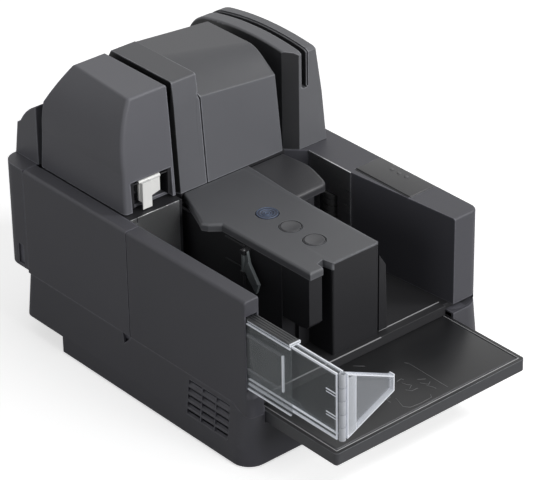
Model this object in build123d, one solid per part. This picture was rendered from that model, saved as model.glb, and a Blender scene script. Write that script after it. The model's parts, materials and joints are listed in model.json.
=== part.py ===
from build123d import *
import os

os.makedirs("parts", exist_ok=True)

# All sizes are in mm. X runs left to right seen from the front, Y from front to back, Z up.
# The origin is on the table, under the middle of the whole scanner.

# ---- fits and walls ----
slide_gap = 0.3        # between a sliding piece and its guide
shaft_gap = 0.05       # radial gap of a shaft or pin in its bore
pin_end_gap = 1.5      # between a hinge pin's end and its blind bore
seat_gap = 0.3         # between a piece and the moulding that it drops into
seam = 0.3             # joint line between two outer mouldings
wall = 2.4             # plastic wall
thin_wall = 1.2        # outer skin beside the extension bay
sheet = 0.8            # metal guide plates

# ---- outer casing ----
case_half = 113.4      # half width of the upper case
base_flare = 3.8       # how far the lower case spreads past it on each side
base_front = -97.5
base_rear = 165.0
base_corner = 15.0     # front corners of the lower case
rear_round = 9.0       # its rear corners
flare_height = 16.0    # the lower case is full width up to here
base_top = 50.0
foot_height = 1.5
foot_radius = 8.0
undercut_front = 117.0
undercut_height = 15.0
deck_top = 54.6
deck_front = -91.0
case_top = 138.4
wing_top = 127.0
overhang_rear = 188.8
side_front = -93.3     # front end of the pocket wall and of the wing
side_rear = 161.7      # joint to the rear case
pocket_seam = 38.0     # joint between pocket wall and side case
side_joint = 0.8       # width of that joint
side_width = 12.7      # thickness of the hollow side walls
edge_round = 2.6
corner_low = 44.0      # the pocket wall's foot wraps the lower case down to here
corner_high = 60.0

# ---- document path ----
path_gap = 5.0
path_roof = 150.0      # documents turn below this height
exit_width = 60.9      # from the case's left face to the exit path
entry_width = 48.1     # from the case's right face to the entry path
exit_path_left = -case_half + exit_width
entry_path_right = case_half - entry_width
turn_y = 122.0         # centre of the turn at the back of the path

# ---- upper covers ----
cover_front = 62.3
cover_top = 226.7
cover_rear = 155.8
crest_y = 132.3
slope_foot = cover_top - 33.2  # height where the back slope meets the upright back
crease_left = cover_top - 19.9
crease_right = cover_top - 28.2
crown_right = cover_top - 11.3    # the centre cover's top falls to this on its right
crown_depth_left = 40.0   # depth over which the top falls to its crease
crown_depth_right = 26.0
crown_fall = 0.75      # slope with which the top reaches the crease
crease_round = 1.2
hood_round = 2.5
cover_seam = 0.5       # joint between the upper covers and the panel
strip_lead = 6.0       # the path widens by this at the foot of the strip
strip_lead_depth = 10.0
draft_top = 12.0       # how far the left face of the exit cover leans in
draft_twist = 0.075    # and how much more it leans for each mm towards the back

# ---- feeder ----
panel_top = 132.0
panel_thick = 6.0
box_left = exit_path_left + 27.2
box_right = box_left + 44.1
box_front = -86.5
pocket_side = exit_path_left + 5.0    # left face of the feeder housing
button_radius = 8.6
button_pitch = 25.8
button_travel = 1.0
button_x = box_left + 12.3
button_first_y = -1.5
button_count = 3

# ---- hopper tray ----
tray_left = -case_half + 13.9
tray_right = case_half - 29.4
tray_front = -172.1
tray_bottom = 35.8
tray_thick = 10.4
tray_hidden = 32.0     # length that stays in the case when it is out
tray_travel = 74.0
tray_rim = 3.6
figure_height = 0.4

# ---- pocket extension ----
bay_bottom = 66.9
bay_rear = 33.0
bay_play = 2.0         # free height over the rail
bay_lip = 1.5          # keeps the rail in the open side of the bay
rail_out = 46.0        # how far the rail stands out of the wall
rail_length = 104.0
rail_web = 1.5
rail_lip = 6.5
plate_front = -184.3
plate_length = 92.0
plate_height = 53.4
bay_top = bay_bottom + plate_height + 2 * (rail_web + 2 * slide_gap) + bay_play
plate_web = 2.0
plate_rib = 6.0
pivot_radius = 2.4
pin_radius = 0.9
fin_reach = 46.0
fin_tip = 12.0
fin_root = 52.4
fin_thick = 2.0

# ---- rollers ----
drive_radius = 9.0
pinch_radius = 7.0
feed_radius = 11.0
shaft_radius = 3.0
tyre_length = 14.0
tyre_low = 71.0
tyre_high = 101.0
roller_y = 100.0
feed_y = 35.0
nip = 2.3              # how far a driven tyre stands into the path
pulley_radius = 8.0
belt_thick = 1.0
belt_width = 5.0
belt_low = 41.0


# ---- helpers ----
def block(x0, x1, y0, y1, z0, z1):
    return Pos((x0 + x1) / 2, (y0 + y1) / 2, (z0 + z1) / 2) * Box(x1 - x0, y1 - y0, z1 - z0)


def post(x, y, radius, z0, z1):
    return Pos(x, y, (z0 + z1) / 2) * Cylinder(radius, z1 - z0)


def outline(*points):
    return make_face(Polyline(*points, close=True))


def plan_prism(face, z0, z1):
    return extrude(Pos(0, 0, z0) * face, z1 - z0)


def side_prism(face, x0, x1):
    return extrude(Plane.YZ.offset(x0) * face, x1 - x0)


def front_prism(face, y0, y1):
    return extrude(Plane.XZ.offset(-y1) * face, y1 - y0)


def cross_rod(x0, x1, y, z, radius):
    return Pos((x0 + x1) / 2, y, z) * Rot(0, 90, 0) * Cylinder(radius, x1 - x0)


def long_rod(x, y0, y1, z, radius):
    return Pos(x, (y0 + y1) / 2, z) * Rot(90, 0, 0) * Cylinder(radius, y1 - y0)


# ---- casing ----
post_x = case_half - 7.8
post_places = [(side * post_x, y) for side in (-1, 1) for y in (-70.0, 60.0, 130.0)]
post_radius = 4.0
screw_radius = 1.5
screw_head = 3.0
foot_x = case_half - 21.4
foot_places = [(side * foot_x, y) for y in (-74.0, 96.0) for side in (-1, 1)]
vent_rows = 5
vent_columns = 3
vent_pitch_y = 15.4
vent_pitch_z = 5.9
vent_length = 14.6
vent_height = 4.5      # of the sloped mouth
vent_opening = 1.4     # of the gap behind it
vent_first_y = -30.5
vent_first_z = 46.0


def base_plan(inset, spread):
    half = case_half + spread - inset
    depth = base_rear - base_front - 2 * inset
    plan = Pos(0, (base_front + base_rear) / 2) * Rectangle(2 * half, depth)
    plan = fillet(plan.vertices().group_by(Axis.Y)[0], base_corner - inset)
    return fillet(plan.vertices().group_by(Axis.Y)[-1], rear_round - inset)


def base_body(inset, bottom, top):
    low = plan_prism(base_plan(inset, base_flare), bottom, flare_height)
    high = loft([Pos(0, 0, flare_height) * base_plan(inset, base_flare), Pos(0, 0, top) * base_plan(inset, 0)])
    return low + high


def vent_slots():
    slots = []
    for row in range(vent_rows):
        for column in range(vent_columns):
            y = vent_first_y - column * vent_pitch_y
            z = vent_first_z - row * vent_pitch_z
            outer = -case_half - base_flare * (base_top - z + vent_height) / (base_top - flare_height)
            inner = -case_half + wall + 0.5
            drop = (vent_height - vent_opening) / (inner - outer)
            mouth = outline((outer - 2, z), (inner, z), (inner, z - vent_opening),
                            (outer - 2, z - vent_height - 2 * drop))
            slots.append(front_prism(mouth, y - vent_length, y))
    return slots


def lower_case():
    floor_top = foot_height + wall
    body = base_body(0, foot_height, base_top)
    step = block(-2 * case_half, 2 * case_half, undercut_front, base_rear + wall, 0, undercut_height)
    body = body - step
    hollow = base_body(wall, floor_top, base_top)
    hollow = hollow - block(-2 * case_half, 2 * case_half, undercut_front - wall, base_rear,
                            0, undercut_height + wall)
    hollow = hollow + plan_prism(base_plan(wall, 0), base_top - 0.1, base_top + 1)
    body = body - hollow
    for x, y in post_places:
        low = undercut_height + wall if y > undercut_front - post_radius - wall else floor_top
        body = body + post(x, y, post_radius, low - 0.5, base_top)
        body = body - post(x, y, screw_radius + shaft_gap, low + wall, base_top + 1)
    for x in (tray_left + 12, tray_right - 12):
        body = body + block(x - wall / 2, x + wall / 2, base_front + wall / 2, base_front + tray_hidden + tray_travel,
                            floor_top - 0.5, tray_bottom - slide_gap)
    body = body - block(tray_left - slide_gap, tray_right + slide_gap, base_front - 1, base_front + wall + 0.5,
                        tray_bottom - slide_gap, base_top + 1)
    for slot in vent_slots():
        body = body - slot
    notch = side_prism(outline((pocket_seam - 1, base_top + 1), (pocket_seam + 9, base_top + 1),
                               (pocket_seam + 6, base_top - 8), (pocket_seam - 1, base_top - 1)),
                       -case_half - base_flare, -case_half + wall - 0.6)
    body = body - notch
    body = body - side_prism(offset(corner_face(), amount=seam, kind=Kind.INTERSECTION),
                             -case_half - base_flare - 1, -case_half + side_width + seam)
    return body - port_hole(dc_port) - port_hole(usb_port)


def rubber_feet():
    pads = []
    for x, y in foot_places:
        pad = post(x, y, foot_radius, 0, foot_height)
        pad = chamfer(pad.faces().sort_by(Axis.Z)[0].edges(), 0.5)
        pads.append(pad)
    return Compound(children=pads)


def case_screws():
    screws = []
    for x, y in post_places:
        head = post(x, y, screw_head, deck_top - 1.6, deck_top)
        shank = post(x, y, screw_radius, deck_top - 14.0, deck_top - 1.6)
        recess = post(x, y, 1.2, deck_top - 0.9, deck_top)
        screws.append(head + shank - recess)
    return Compound(children=screws)


def main_deck():
    half = case_half - wall - seat_gap
    rear = side_rear - seam
    body = block(-half, half, deck_front + wall, rear - base_corner + wall, base_top, deck_top)
    body = body + block(-half + base_corner, half - base_corner, rear - 40, rear, base_top, deck_top)
    lip = block(tray_left + 2, tray_right - 2, deck_front, deck_front + wall,
                tray_bottom + tray_thick + figure_height + slide_gap, deck_top)
    body = body + lip
    for x, y in post_places:
        body = body - post(x, y, screw_radius + 0.3, base_top - 1, deck_top + 1)
        body = body - post(x, y, screw_head + seat_gap, deck_top - 1.6, deck_top + 1)
    for x in (left_drive_x, right_drive_x):
        body = body - post(x, roller_y, shaft_radius + shaft_gap, base_top - 1, deck_top + 1)
    return body - post(pinch_x, roller_y, shaft_radius + shaft_gap, base_top + 1.5, deck_top + 1)


def corner_face():
    """Side view of the pocket wall's foot, which wraps the front corner of the lower case."""
    return outline((side_front, bay_bottom), (base_front, corner_high), (base_front, corner_low),
                   (base_front + 7, corner_low), (base_front + 14, base_top - 2), (base_front + 18, base_top),
                   (base_front + 24, base_top), (base_front + 24, bay_bottom - wall), (side_front + 2, bay_bottom))


def corner_foot():
    left = -case_half
    foot = side_prism(corner_face(), left, left + side_width)
    front = [edge for edge in foot.edges().filter_by_position(Axis.X, left - 0.01, left + 0.01)
             if edge.center().Y < side_front and edge.center().Z > corner_low + 1]
    return fillet(front, 5.0)


def hollow_side(y0, y1, deck_edge):
    """Inverted trough between the outer and inner skins of the left side."""
    left = -case_half
    right = -case_half + side_width
    body = block(left, right, y0, y1, base_top, case_top)
    edges = body.edges().filter_by(Axis.Y).group_by(Axis.Z)[-1]
    body = fillet(edges.sort_by(Axis.X)[0], edge_round)
    return body - block(left + wall, right + 1, deck_edge, y1 + 1, base_top - 1, deck_top)


def pocket_wall():
    left = -case_half
    right = -case_half + side_width
    rear = pocket_seam - side_joint
    deck_edge = deck_front + wall - seat_gap
    body = hollow_side(side_front, rear, deck_edge)
    top_front = body.faces().sort_by(Axis.Z)[-1].edges().sort_by(Axis.Y)[0]
    body = fillet(top_front, 1.2)
    body = body + (corner_foot() - block(left + wall, right + 1, deck_edge, 0, base_top - 1, deck_top))
    body = body - block(left + thin_wall, right + 1, side_front - 9, bay_rear, bay_bottom, bay_top)
    for low, high in ((deck_top, bay_bottom - wall), (bay_top + wall, case_top - wall)):
        body = body - block(left + wall, right - wall, side_front + wall, rear - wall, low, high)
    for low in (bay_bottom - 0.1, bay_top - 3.0):
        body = body + block(right - bay_lip, right, side_front, bay_rear, low, low + 3.1)
    return body


def side_case():
    left = -case_half
    right = -case_half + side_width
    body = hollow_side(pocket_seam, side_rear - seam, pocket_seam - 1)
    body = body - block(left + wall, right - wall, pocket_seam + wall, side_rear - seam - wall,
                        deck_top, case_top - wall)
    return body


def turn_slot():
    """Room for the upper part of a document at the back of the path."""
    ring = post(guide_x, turn_y, guide_radius - 0.2, wing_top - 8, path_roof)
    ring = ring - post(guide_x, turn_y, guide_radius - path_gap + 0.4, wing_top - 9, path_roof + 1)
    return ring & block(-case_half, case_half, turn_y, overhang_rear, 0, path_roof)


def rear_case():
    step_x = entry_path_right - 11
    face = outline((-case_half, deck_top - wall), (case_half, deck_top - wall), (case_half, wing_top),
                   (step_x, wing_top), (step_x, case_top), (-case_half, case_top))
    body = front_prism(face, side_rear, overhang_rear)
    corners = body.edges().filter_by(Axis.Z).group_by(Axis.Y)[-1]
    body = fillet(corners, rear_corner)
    cavity = offset(face, amount=-wall, kind=Kind.INTERSECTION)
    body = body - front_prism(cavity, side_rear - 1, overhang_rear - rear_corner)
    body = body - block(-case_half + rear_corner, case_half - rear_corner, overhang_rear - rear_corner - 1,
                        overhang_rear - wall, deck_top, wing_top - wall)
    body = body - block(-case_half + rear_corner, step_x - wall, overhang_rear - rear_corner - 1,
                        overhang_rear - wall, deck_top, case_top - wall)
    half = case_half - base_corner
    body = body + block(-half, half, side_rear, base_rear, base_top, deck_top - wall + 0.1)
    body = body - block(-case_half - 1, -case_half + wall - 0.6, 165.8, 172.4, deck_top + 0.2, deck_top + 17.2)
    body = body - turn_disc(guide_radius - 0.2, wing_top - 8, path_roof)
    body = body + post(tower_pin_x, tower_pin_y, hinge_pin_radius + wall, tower_pin_low - wall, wing_top)
    return body - post(tower_pin_x, tower_pin_y, hinge_pin_radius, tower_pin_low, wing_top + 1)


rear_corner = 14.0
guide_radius = (entry_path_right - exit_path_left) / 2 - 0.5
guide_x = (entry_path_right - path_gap / 2 + exit_path_left + path_gap / 2) / 2


def turn_disc(radius, z0, z1):
    return post(guide_x, turn_y, radius, z0, z1)


wing_inner_front = case_half - 25.4
wing_inner_rear = case_half - 33.7
lead_in = 9.2
funnel_y = cover_front + lead_in + entry_path_right - wing_inner_rear
wing_bend_y = 10.0
lid_left = case_half - 27.4
lid_front = -48.0
lid_rear = 12.0
lid_thick = 2.4
lid_skirt = wing_top - 18.9
lid_pin_x = case_half - 1.4
lid_pin_z = lid_skirt + 1.5
lid_pin_radius = 0.6
wing_corner = 8.0
wing_round = 2.0


def wing_face():
    """Plan of the wing: its inner side narrows the hopper down to the document path."""
    return outline((case_half, side_front), (case_half, side_rear - seam), (entry_path_right, side_rear - seam),
                   (entry_path_right, cover_front + lead_in), (entry_path_right + lead_in, cover_front),
                   (wing_inner_rear, funnel_y), (wing_inner_rear, wing_bend_y), (wing_inner_front, side_front))


def wing_case():
    body = plan_prism(wing_face(), base_top, wing_top)
    corner = body.edges().filter_by(Axis.Z).sort_by(lambda e: e.center().X - e.center().Y)[-1]
    body = fillet(corner, wing_corner)
    top_edge = body.edges().filter_by(Axis.Y).group_by(Axis.Z)[-1].sort_by(Axis.X)[-1]
    body = fillet(top_edge, wing_round)
    cavity = offset(wing_face(), amount=-wall, kind=Kind.INTERSECTION)
    body = body - plan_prism(cavity, base_top - 1, wing_top - wall)
    body = body - block(0, case_half - wall, side_front - 1, side_rear, base_top - 1, deck_top)
    body = body - turn_disc(guide_radius + 1.8 + seat_gap, base_top, wing_top + 1)
    # bay under the lid, with the ledge that carries it
    ledge = block(lid_left - 3, case_half - wall, lid_front - 3, lid_rear + 3,
                  wing_top - 2 * wall - 1, wing_top - wall + 0.01)
    body = body + (ledge & plan_prism(wing_face(), base_top, wing_top))
    body = body - block(lid_left - seam, case_half + 1, lid_front - seam, lid_rear + seam,
                        wing_top - lid_thick - seam, wing_top + 1)
    body = body - block(lid_pin_x - 2.4, case_half + 1, lid_front - seam, lid_rear + seam,
                        lid_skirt - 0.8, wing_top + 1)
    body = body - block(lid_left + 3, lid_pin_x - 4.2, lid_front + 3, lid_rear - 3, wing_top - 12, wing_top)
    body = body - long_rod(lid_pin_x, lid_front - 4, lid_rear + 4, lid_pin_z, lid_pin_radius)
    # shelves that carry the feed roller and the entry pinch roller
    for low in (shelf_low, shelf_high):
        body = body + block(wing_inner_rear + wall - 0.1, feed_x + 8, feed_y - 12, feed_y + 12, low, low + wall)
        body = body + block(entry_path_right + wall - 0.1, entry_pinch_x + 6, roller_y - 8, roller_y + 8,
                            low, low + wall)
    for x, y in ((feed_x, feed_y), (entry_pinch_x, roller_y)):
        body = body - post(x, y, shaft_radius + shaft_gap, shelf_low + 1.2, shelf_high + wall + 1)
    body = body - block(wing_inner_rear - 1, wing_inner_rear + wall + 1, feed_y - 10.5, feed_y + 10.5,
                        feed_low - 1, feed_high + 1)
    for low in (tyre_low, tyre_high):
        body = body - block(entry_path_right - 1, entry_path_right + wall + 1, roller_y - pinch_radius - 0.6,
                            roller_y + pinch_radius + 0.6, low - 1, low + tyre_length + 1)
    body = body - block(entry_path_right - 1, entry_path_right + wall + 0.3, head_y - head_half - seat_gap,
                        head_y + head_half + seat_gap, head_low - seat_gap, head_high + seat_gap)
    return body


def wing_lid():
    body = block(lid_left, case_half, lid_front, lid_rear, wing_top - lid_thick, wing_top)
    body = body + block(lid_pin_x - 1.6, case_half, lid_front, lid_rear, lid_skirt, wing_top)
    edge = body.edges().filter_by(Axis.Y).group_by(Axis.Z)[-1].sort_by(Axis.X)
    body = fillet(edge[-1], wing_round)
    body = chamfer(body.edges().filter_by(Axis.Y).group_by(Axis.Z)[-1].sort_by(Axis.X)[0], 0.8)
    body = body - long_rod(lid_pin_x, lid_front - 1, lid_rear + 1, lid_pin_z, lid_pin_radius + shaft_gap)
    for step in (-1, 0, 1):
        body = body + Pos(case_half - 9.9, -16.5 + 8.1 * step, wing_top - 0.1) * Cylinder(0.9, 0.8)
    return body


def wing_lid_pin():
    return long_rod(lid_pin_x, lid_front - 4, lid_rear + 4, lid_pin_z, lid_pin_radius)


# ---- exit side ----
exit_left = -case_half + side_width + seam
exit_front = 48.3
hinge_x = exit_left + 6.4
hinge_y = 150.5
hinge_pin_radius = 2.0
hinge_pin_length = 56.0
exit_pin_low = 124.0
tower_pin_low = 113.0
core_right = entry_path_right - path_gap - 0.5
pinch_x = exit_path_left + nip + 0.1 - pinch_radius
left_drive_x = exit_path_left + path_gap + drive_radius - nip
right_drive_x = core_right - drive_radius + nip
entry_pinch_x = core_right + nip + seat_gap + pinch_radius
motor_x = guide_x
motor_y = 133.0
motor_radius = 17.0
motor_top = 36.5
shaft_places = [(left_drive_x, roller_y), (right_drive_x, roller_y), (motor_x, motor_y)]
feed_x = wing_inner_rear - sheet - nip + 0.2 + feed_radius
feed_low = 75.0
feed_high = 100.0
shelf_low = deck_top + 3.4
shelf_high = wing_top - 9.0
head_y = 82.0
head_half = 5.0
head_low = 62.0
head_high = 84.0
tower_pin_x = entry_path_right + 6.7
tower_pin_y = 177.0


def magnetic_head():
    """Head that reads the printed line of the document; its nose looks through the wing's wall."""
    back = entry_path_right + wall + 0.6
    nose = block(entry_path_right - 0.2, back + 0.1, head_y - head_half, head_y + head_half, head_low, head_high)
    return nose + block(back, back + 7, head_y - head_half - 2, head_y + head_half + 2, deck_top, head_high + 3)


def exit_core():
    top = case_top - 0.4
    body = block(exit_left, exit_path_left, exit_front, cover_rear, deck_top, top)
    body = body - block(exit_left + wall, exit_path_left - wall, exit_front + wall, cover_rear - wall,
                        deck_top - 1, top - wall)
    body = body - turn_disc(guide_radius + 1.8 + seat_gap, deck_top - 1, top + 1)
    body = body + block(pinch_x - 5, exit_path_left, roller_y - 9, roller_y + 9, top - wall - 2, top - wall + 0.1)
    for low in (tyre_low, tyre_high):
        body = body - block(exit_path_left - wall - 1, exit_path_left + 1, roller_y - pinch_radius - 0.6,
                            roller_y + pinch_radius + 0.6, low - 1, low + tyre_length + 1)
    body = body - post(pinch_x, roller_y, shaft_radius + shaft_gap, deck_top, top - 1)
    body = body - sensor_window(exit_path_left - wall - 0.3, exit_path_left + 1)
    boss = post(hinge_x, hinge_y, hinge_pin_radius + wall, exit_pin_low - wall, top)
    body = body + boss - post(hinge_x, hinge_y, hinge_pin_radius, exit_pin_low, top + 1)
    return body


def hinge_pins():
    """Two alike: one in the exit core, one in the rear case under the reader tower."""
    exit_pin = post(hinge_x, hinge_y, hinge_pin_radius, exit_pin_low, exit_pin_low + hinge_pin_length)
    tower_pin = post(tower_pin_x, tower_pin_y, hinge_pin_radius, tower_pin_low, tower_pin_low + hinge_pin_length)
    return Compound(children=[exit_pin, tower_pin])


def exit_front_face(y):
    """Front view of the exit cover at one depth: its left side leans in more towards the back."""
    left = exit_left + 1.2
    lean = draft_top + draft_twist * (y - cover_front)
    line = Polyline((left + lean, cover_top), (exit_path_left, cover_top), (exit_path_left, case_top + seam),
                    (left, case_top + seam), (left + 1.0, case_top + 32))
    side = ThreePointArc((left + 1.0, case_top + 32), (left + lean / 3, case_top + 66), (left + lean, cover_top))
    return make_face(Curve() + line + side)


def hood_side_face():
    """Side view of the exit cover: its front is slightly bowed and leans back."""
    low = case_top + seam
    lines = Polyline((cover_front, cover_top), (crest_y, cover_top), (cover_rear - 2.8, slope_foot), (cover_rear, low),
                     (cover_front - 7, low))
    front = ThreePointArc((cover_front - 7, low), (cover_front - 3.4, low + 50), (cover_front, cover_top))
    return make_face(Curve() + lines + front)


def exit_hood(inset):
    faces = [exit_front_face(40.0), exit_front_face(170.0)]
    side_face = hood_side_face()
    if inset:
        faces = [offset(face, amount=-inset, kind=Kind.INTERSECTION) for face in faces]
        side_face = offset(side_face, amount=-inset, kind=Kind.INTERSECTION)
    body = loft([Plane.XZ.offset(-40.0) * faces[0], Plane.XZ.offset(-170.0) * faces[1]])
    return body & side_prism(side_face, -case_half, 0)


window_left = exit_left + 7.9
window_right = exit_path_left - wall
window_top = 162.3


def exit_cover():
    brim = block(exit_path_left - 3, exit_path_left + 2, cover_front + 1.6, crest_y - 1, cover_top - 2.6, cover_top)
    body = exit_hood(0)
    corner = [edge for edge in body.edges() if edge.center().Y < cover_front and edge.length > 30
              and edge.center().X < window_left]
    body = fillet(corner, 3.0)
    sharp = body.edges().filter_by_position(Axis.Z, cover_top - 0.01, cover_top + 0.01)
    body = fillet(sharp, 2.2)
    low = case_top + seam
    body = body - exit_hood(wall)
    pin_top = exit_pin_low + hinge_pin_length + pin_end_gap
    boss = post(hinge_x, hinge_y, hinge_pin_radius + wall, low, pin_top + wall) & exit_hood(0.2)
    body = body + boss - post(hinge_x, hinge_y, hinge_pin_radius + shaft_gap, low - 1, pin_top)
    return body - block(window_left, exit_path_left - wall, exit_front, cover_front - 1.5, low - 1, window_top)


lever_y = cover_front - 4.3
lever_z = window_top - 2.7
lever_pin_radius = 0.6
cheek_front = cover_front - 5.3


def ink_cartridge():
    body = block(window_left + 3.6, window_right - 3.8, cover_front + 6.5, cover_front + 36, carriage_low, window_top + 4)
    return fillet(body.edges().filter_by(Axis.Z), 1.5)


def imprint_lever():
    """White lever in the window: a stepped plate with a tab, hung on a cross pin."""
    left = window_left + 7.9
    face = outline((left, lever_z), (left, 145.0), (left + 9.6, 145.0), (left + 19.4, 147.2), (left + 19.4, lever_z))
    body = front_prism(face, lever_y - 0.8, lever_y + 0.9)
    body = body + block(left + 0.6, left + 9.0, lever_y - 4.4, lever_y + 0.9, case_top + 0.6, lever_z + 0.6)
    body = body - block(left - 1, left + 10, lever_y - 3.6, lever_y + 2, case_top, 144.6)
    eye = cross_rod(left, left + 19.4, lever_y, lever_z, 1.6)
    return body + eye - cross_rod(left - 5, left + 25, lever_y, lever_z, lever_pin_radius + shaft_gap)


carriage_low = case_top + wall + seam


def imprint_carriage():
    """Frame in the exit cover that holds the cartridge and the lever's pin."""
    rear = cover_front + 38
    body = block(window_left + 0.3, window_right - 0.3, rear - 2, rear, carriage_low, window_top + 6)
    for x in (window_left + 0.3, window_right - 3.0):
        body = body + block(x, x + 2.7, cover_front, rear, carriage_low, window_top + 6)
        body = body + block(x, x + 2.7, cheek_front, cover_front + 0.1, carriage_low, window_top - 0.4)
    for step in range(2):
        low = 145.5 + 7 * step
        body = body + block(window_left + 2.9, window_left + 5.0, cheek_front + 1, cover_front + 4, low, low + 0.8)
    return body + cross_rod(window_left + 2, window_right - 2, lever_y, lever_z, lever_pin_radius)


# ---- centre ----
def centre_split_face():
    """Front view of the main centre cover: it widens downwards on both sides."""
    low = panel_top
    left = exit_path_left + 30.5
    return outline((left, low), (core_right - 0.8, low), (core_right - 8.4, crease_right + 3),
                   (core_right - 10.3, cover_top + 1), (left - 6.8, cover_top + 1))


def centre_profile(x, crease, crown, round_depth):
    plane = Plane.YZ.offset(x)
    low = panel_top + cover_seam
    front = cover_front + 0.3
    line = Polyline((front - 0.8, crease), (front, low), (cover_rear, low), (cover_rear - 2.8, slope_foot),
                    (crest_y + (cover_top - crown) * 0.6, crown), (front + round_depth, crown))
    curve = Spline((front + round_depth, crown), (front - 0.8, crease),
                   tangents=((-1, 0), (-1, -crown_fall)), tangent_scalars=(1, 1))
    return plane * make_face(Curve() + line + curve)


def centre_block():
    body = loft([centre_profile(exit_path_left + 26.5, crease_left, cover_top, crown_depth_left),
                 centre_profile(core_right, crease_right, crown_right, crown_depth_right)])
    body = body & front_prism(centre_split_face(), 0, overhang_rear)
    rounded = []
    for edge in body.edges():
        middle = edge.center()
        right = middle.X > core_right - 10.8 and middle.Z > 140 and (middle.Y < 70 or middle.Z > cover_top - 18.7)
        back = middle.Y > crest_y - 2 and middle.Z > cover_top - 10.7
        if right or back:
            rounded.append(edge)
    body = fillet(rounded, hood_round)
    creases = [edge for edge in body.edges() if edge.center().X < core_right - 19.8
               and edge.center().Y < cover_front + 2 and crease_right - 9 < edge.center().Z < cover_top]
    return fillet(creases, crease_round)


def centre_cover():
    """Main cover with the step of the document path on its left side."""
    body = centre_block()
    body = body - block(exit_path_left + 41.5, core_right - 12.8, cover_front + 6, cover_rear - 6,
                        panel_top - 1, crease_right - 8)
    body = body + path_strip() - turn_slot()
    return body - joint_groove()


def strip_right(z):
    """The strip's right edge runs from the panel to the top as a straight leaning line."""
    return exit_path_left + 36.3 - 0.0765 * (z - panel_top)


def joint_groove():
    """Joint line between strip and main hood, bent over at its upper end."""
    low, high, end = panel_top - 1, crease_left - 2, crease_left + 4
    half = groove_width / 2
    face = outline((strip_right(low) - half, low), (strip_right(low) + half, low),
                   (strip_right(high) + half, high), (strip_right(high) - 2.6 + half, end),
                   (strip_right(high) - 2.6 - half, end), (strip_right(high) - half, high - 0.5))
    return front_prism(face, cover_front - 5, cover_front + 3.5)


def path_strip():
    left = exit_path_left + path_gap
    low = panel_top + cover_seam
    rear = cover_rear - 2.8
    face = outline((left, low), (strip_right(low), low), (exit_path_left + 27.5, cover_top), (left, cover_top))
    body = front_prism(face, 0, overhang_rear)
    profile = outline((cover_front + 0.3, low), (cover_front - 0.3, crease_left), (cover_front, cover_top),
                      (crest_y, cover_top), (rear, slope_foot), (cover_rear, low))
    body = body & side_prism(profile, exit_path_left - 7.5, exit_path_left + 52.5)
    top = body.edges().filter_by_position(Axis.Z, cover_top - 0.01, cover_top + 0.01)
    body = fillet(top.sort_by(Axis.Y)[0], 2.0)
    lead = Plane(origin=(left, cover_front, cover_top), x_dir=(strip_lead, 0, panel_top - cover_top),
                 z_dir=(cover_top - panel_top, strip_lead / strip_lead_depth * (cover_top - panel_top), strip_lead))
    body = body - extrude(lead * Rectangle(400, 400), -60)
    return body - block(left + wall + strip_lead, exit_path_left + 27.0, cover_front + 5, cover_rear - 6, panel_top - 1,
                        slope_foot - 6)


groove_width = 1.1


def core_plan(inset):
    left = exit_path_left + path_gap
    front = cover_front + 0.6
    lines = Polyline((left, turn_y), (left, front + strip_lead_depth), (left + strip_lead, front),
                     (core_right, front), (core_right, turn_y))
    arc = ThreePointArc((core_right, turn_y), (guide_x, turn_y + (core_right - left) / 2), (left, turn_y))
    face = make_face(Curve() + lines + arc)
    return offset(face, amount=-inset, kind=Kind.INTERSECTION) if inset else face


sensor_y = cover_front + 14
sensor_length = 11.0


def sensor_window(x0, x1):
    return block(x0, x1, sensor_y - seat_gap, sensor_y + sensor_length + seat_gap, 60, 126)


def image_sensor(x, side):
    """Upright contact sensor whose glass bar looks into the document path."""
    bar = side * (wall + 0.6)
    depth = side * 10.0
    x0, x1 = sorted((x - side * 0.2, x + bar + side * 0.1))
    body = block(x0, x1, sensor_y, sensor_y + sensor_length, 60.3, 125.7)
    x0, x1 = sorted((x + bar, x + bar + depth))
    return body + block(x0, x1, sensor_y - 2, sensor_y + sensor_length + 2, deck_top, 128)


def image_sensors():
    return Compound(children=[image_sensor(exit_path_left, -1), image_sensor(exit_path_left + path_gap, 1)])


def transport_core():
    top = panel_top
    body = plan_prism(core_plan(0), deck_top, top)
    body = body - plan_prism(core_plan(wall), deck_top - 1, top - wall)
    for x in (left_drive_x, right_drive_x):
        body = body - post(x, roller_y, shaft_radius + shaft_gap, deck_top, top + 1)
    for low in (tyre_low, tyre_high):
        body = body - block(exit_path_left, exit_path_left + path_gap + wall + 1, roller_y - drive_radius - 0.6,
                            roller_y + drive_radius + 0.6, low - 1, low + tyre_length + 1)
        body = body - block(core_right - wall - 1, core_right + 1, roller_y - drive_radius - 0.6,
                            roller_y + drive_radius + 0.6, low - 1, low + tyre_length + 1)
    left = exit_path_left + path_gap
    return body - sensor_window(left - 1, left + wall + 0.3)


def rear_guide():
    ring = turn_disc(guide_radius + 1.8, deck_top, wing_top - 3)
    ring = ring - turn_disc(guide_radius, deck_top - 1, wing_top)
    return ring & block(-100, 100, turn_y + 0.5, overhang_rear, 0, case_top)


def rear_cover():
    low = case_top
    front = cover_rear + 0.8
    lines = Polyline((overhang_rear - 4.8, 166.0), (overhang_rear - 0.4, low), (front, low), (front, slope_foot - 4.5))
    arc = ThreePointArc((front, slope_foot - 4.5), (170.5, 180.0), (179.8, 168.6))
    cap = Line((179.8, 168.6), (overhang_rear - 4.8, 166.0))
    right = entry_path_right - 14
    body = side_prism(make_face(Curve() + lines + arc + cap), exit_left + 1.4, right)
    body = body - block(exit_left - 1, hinge_x + 10, front - 1, hinge_y + 9.6, low - 1, slope_foot)
    cavity = block(exit_left + 5, right - 4, hinge_y + 14, overhang_rear - 12, low - 1, 164)
    return body - cavity - turn_slot()


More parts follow.
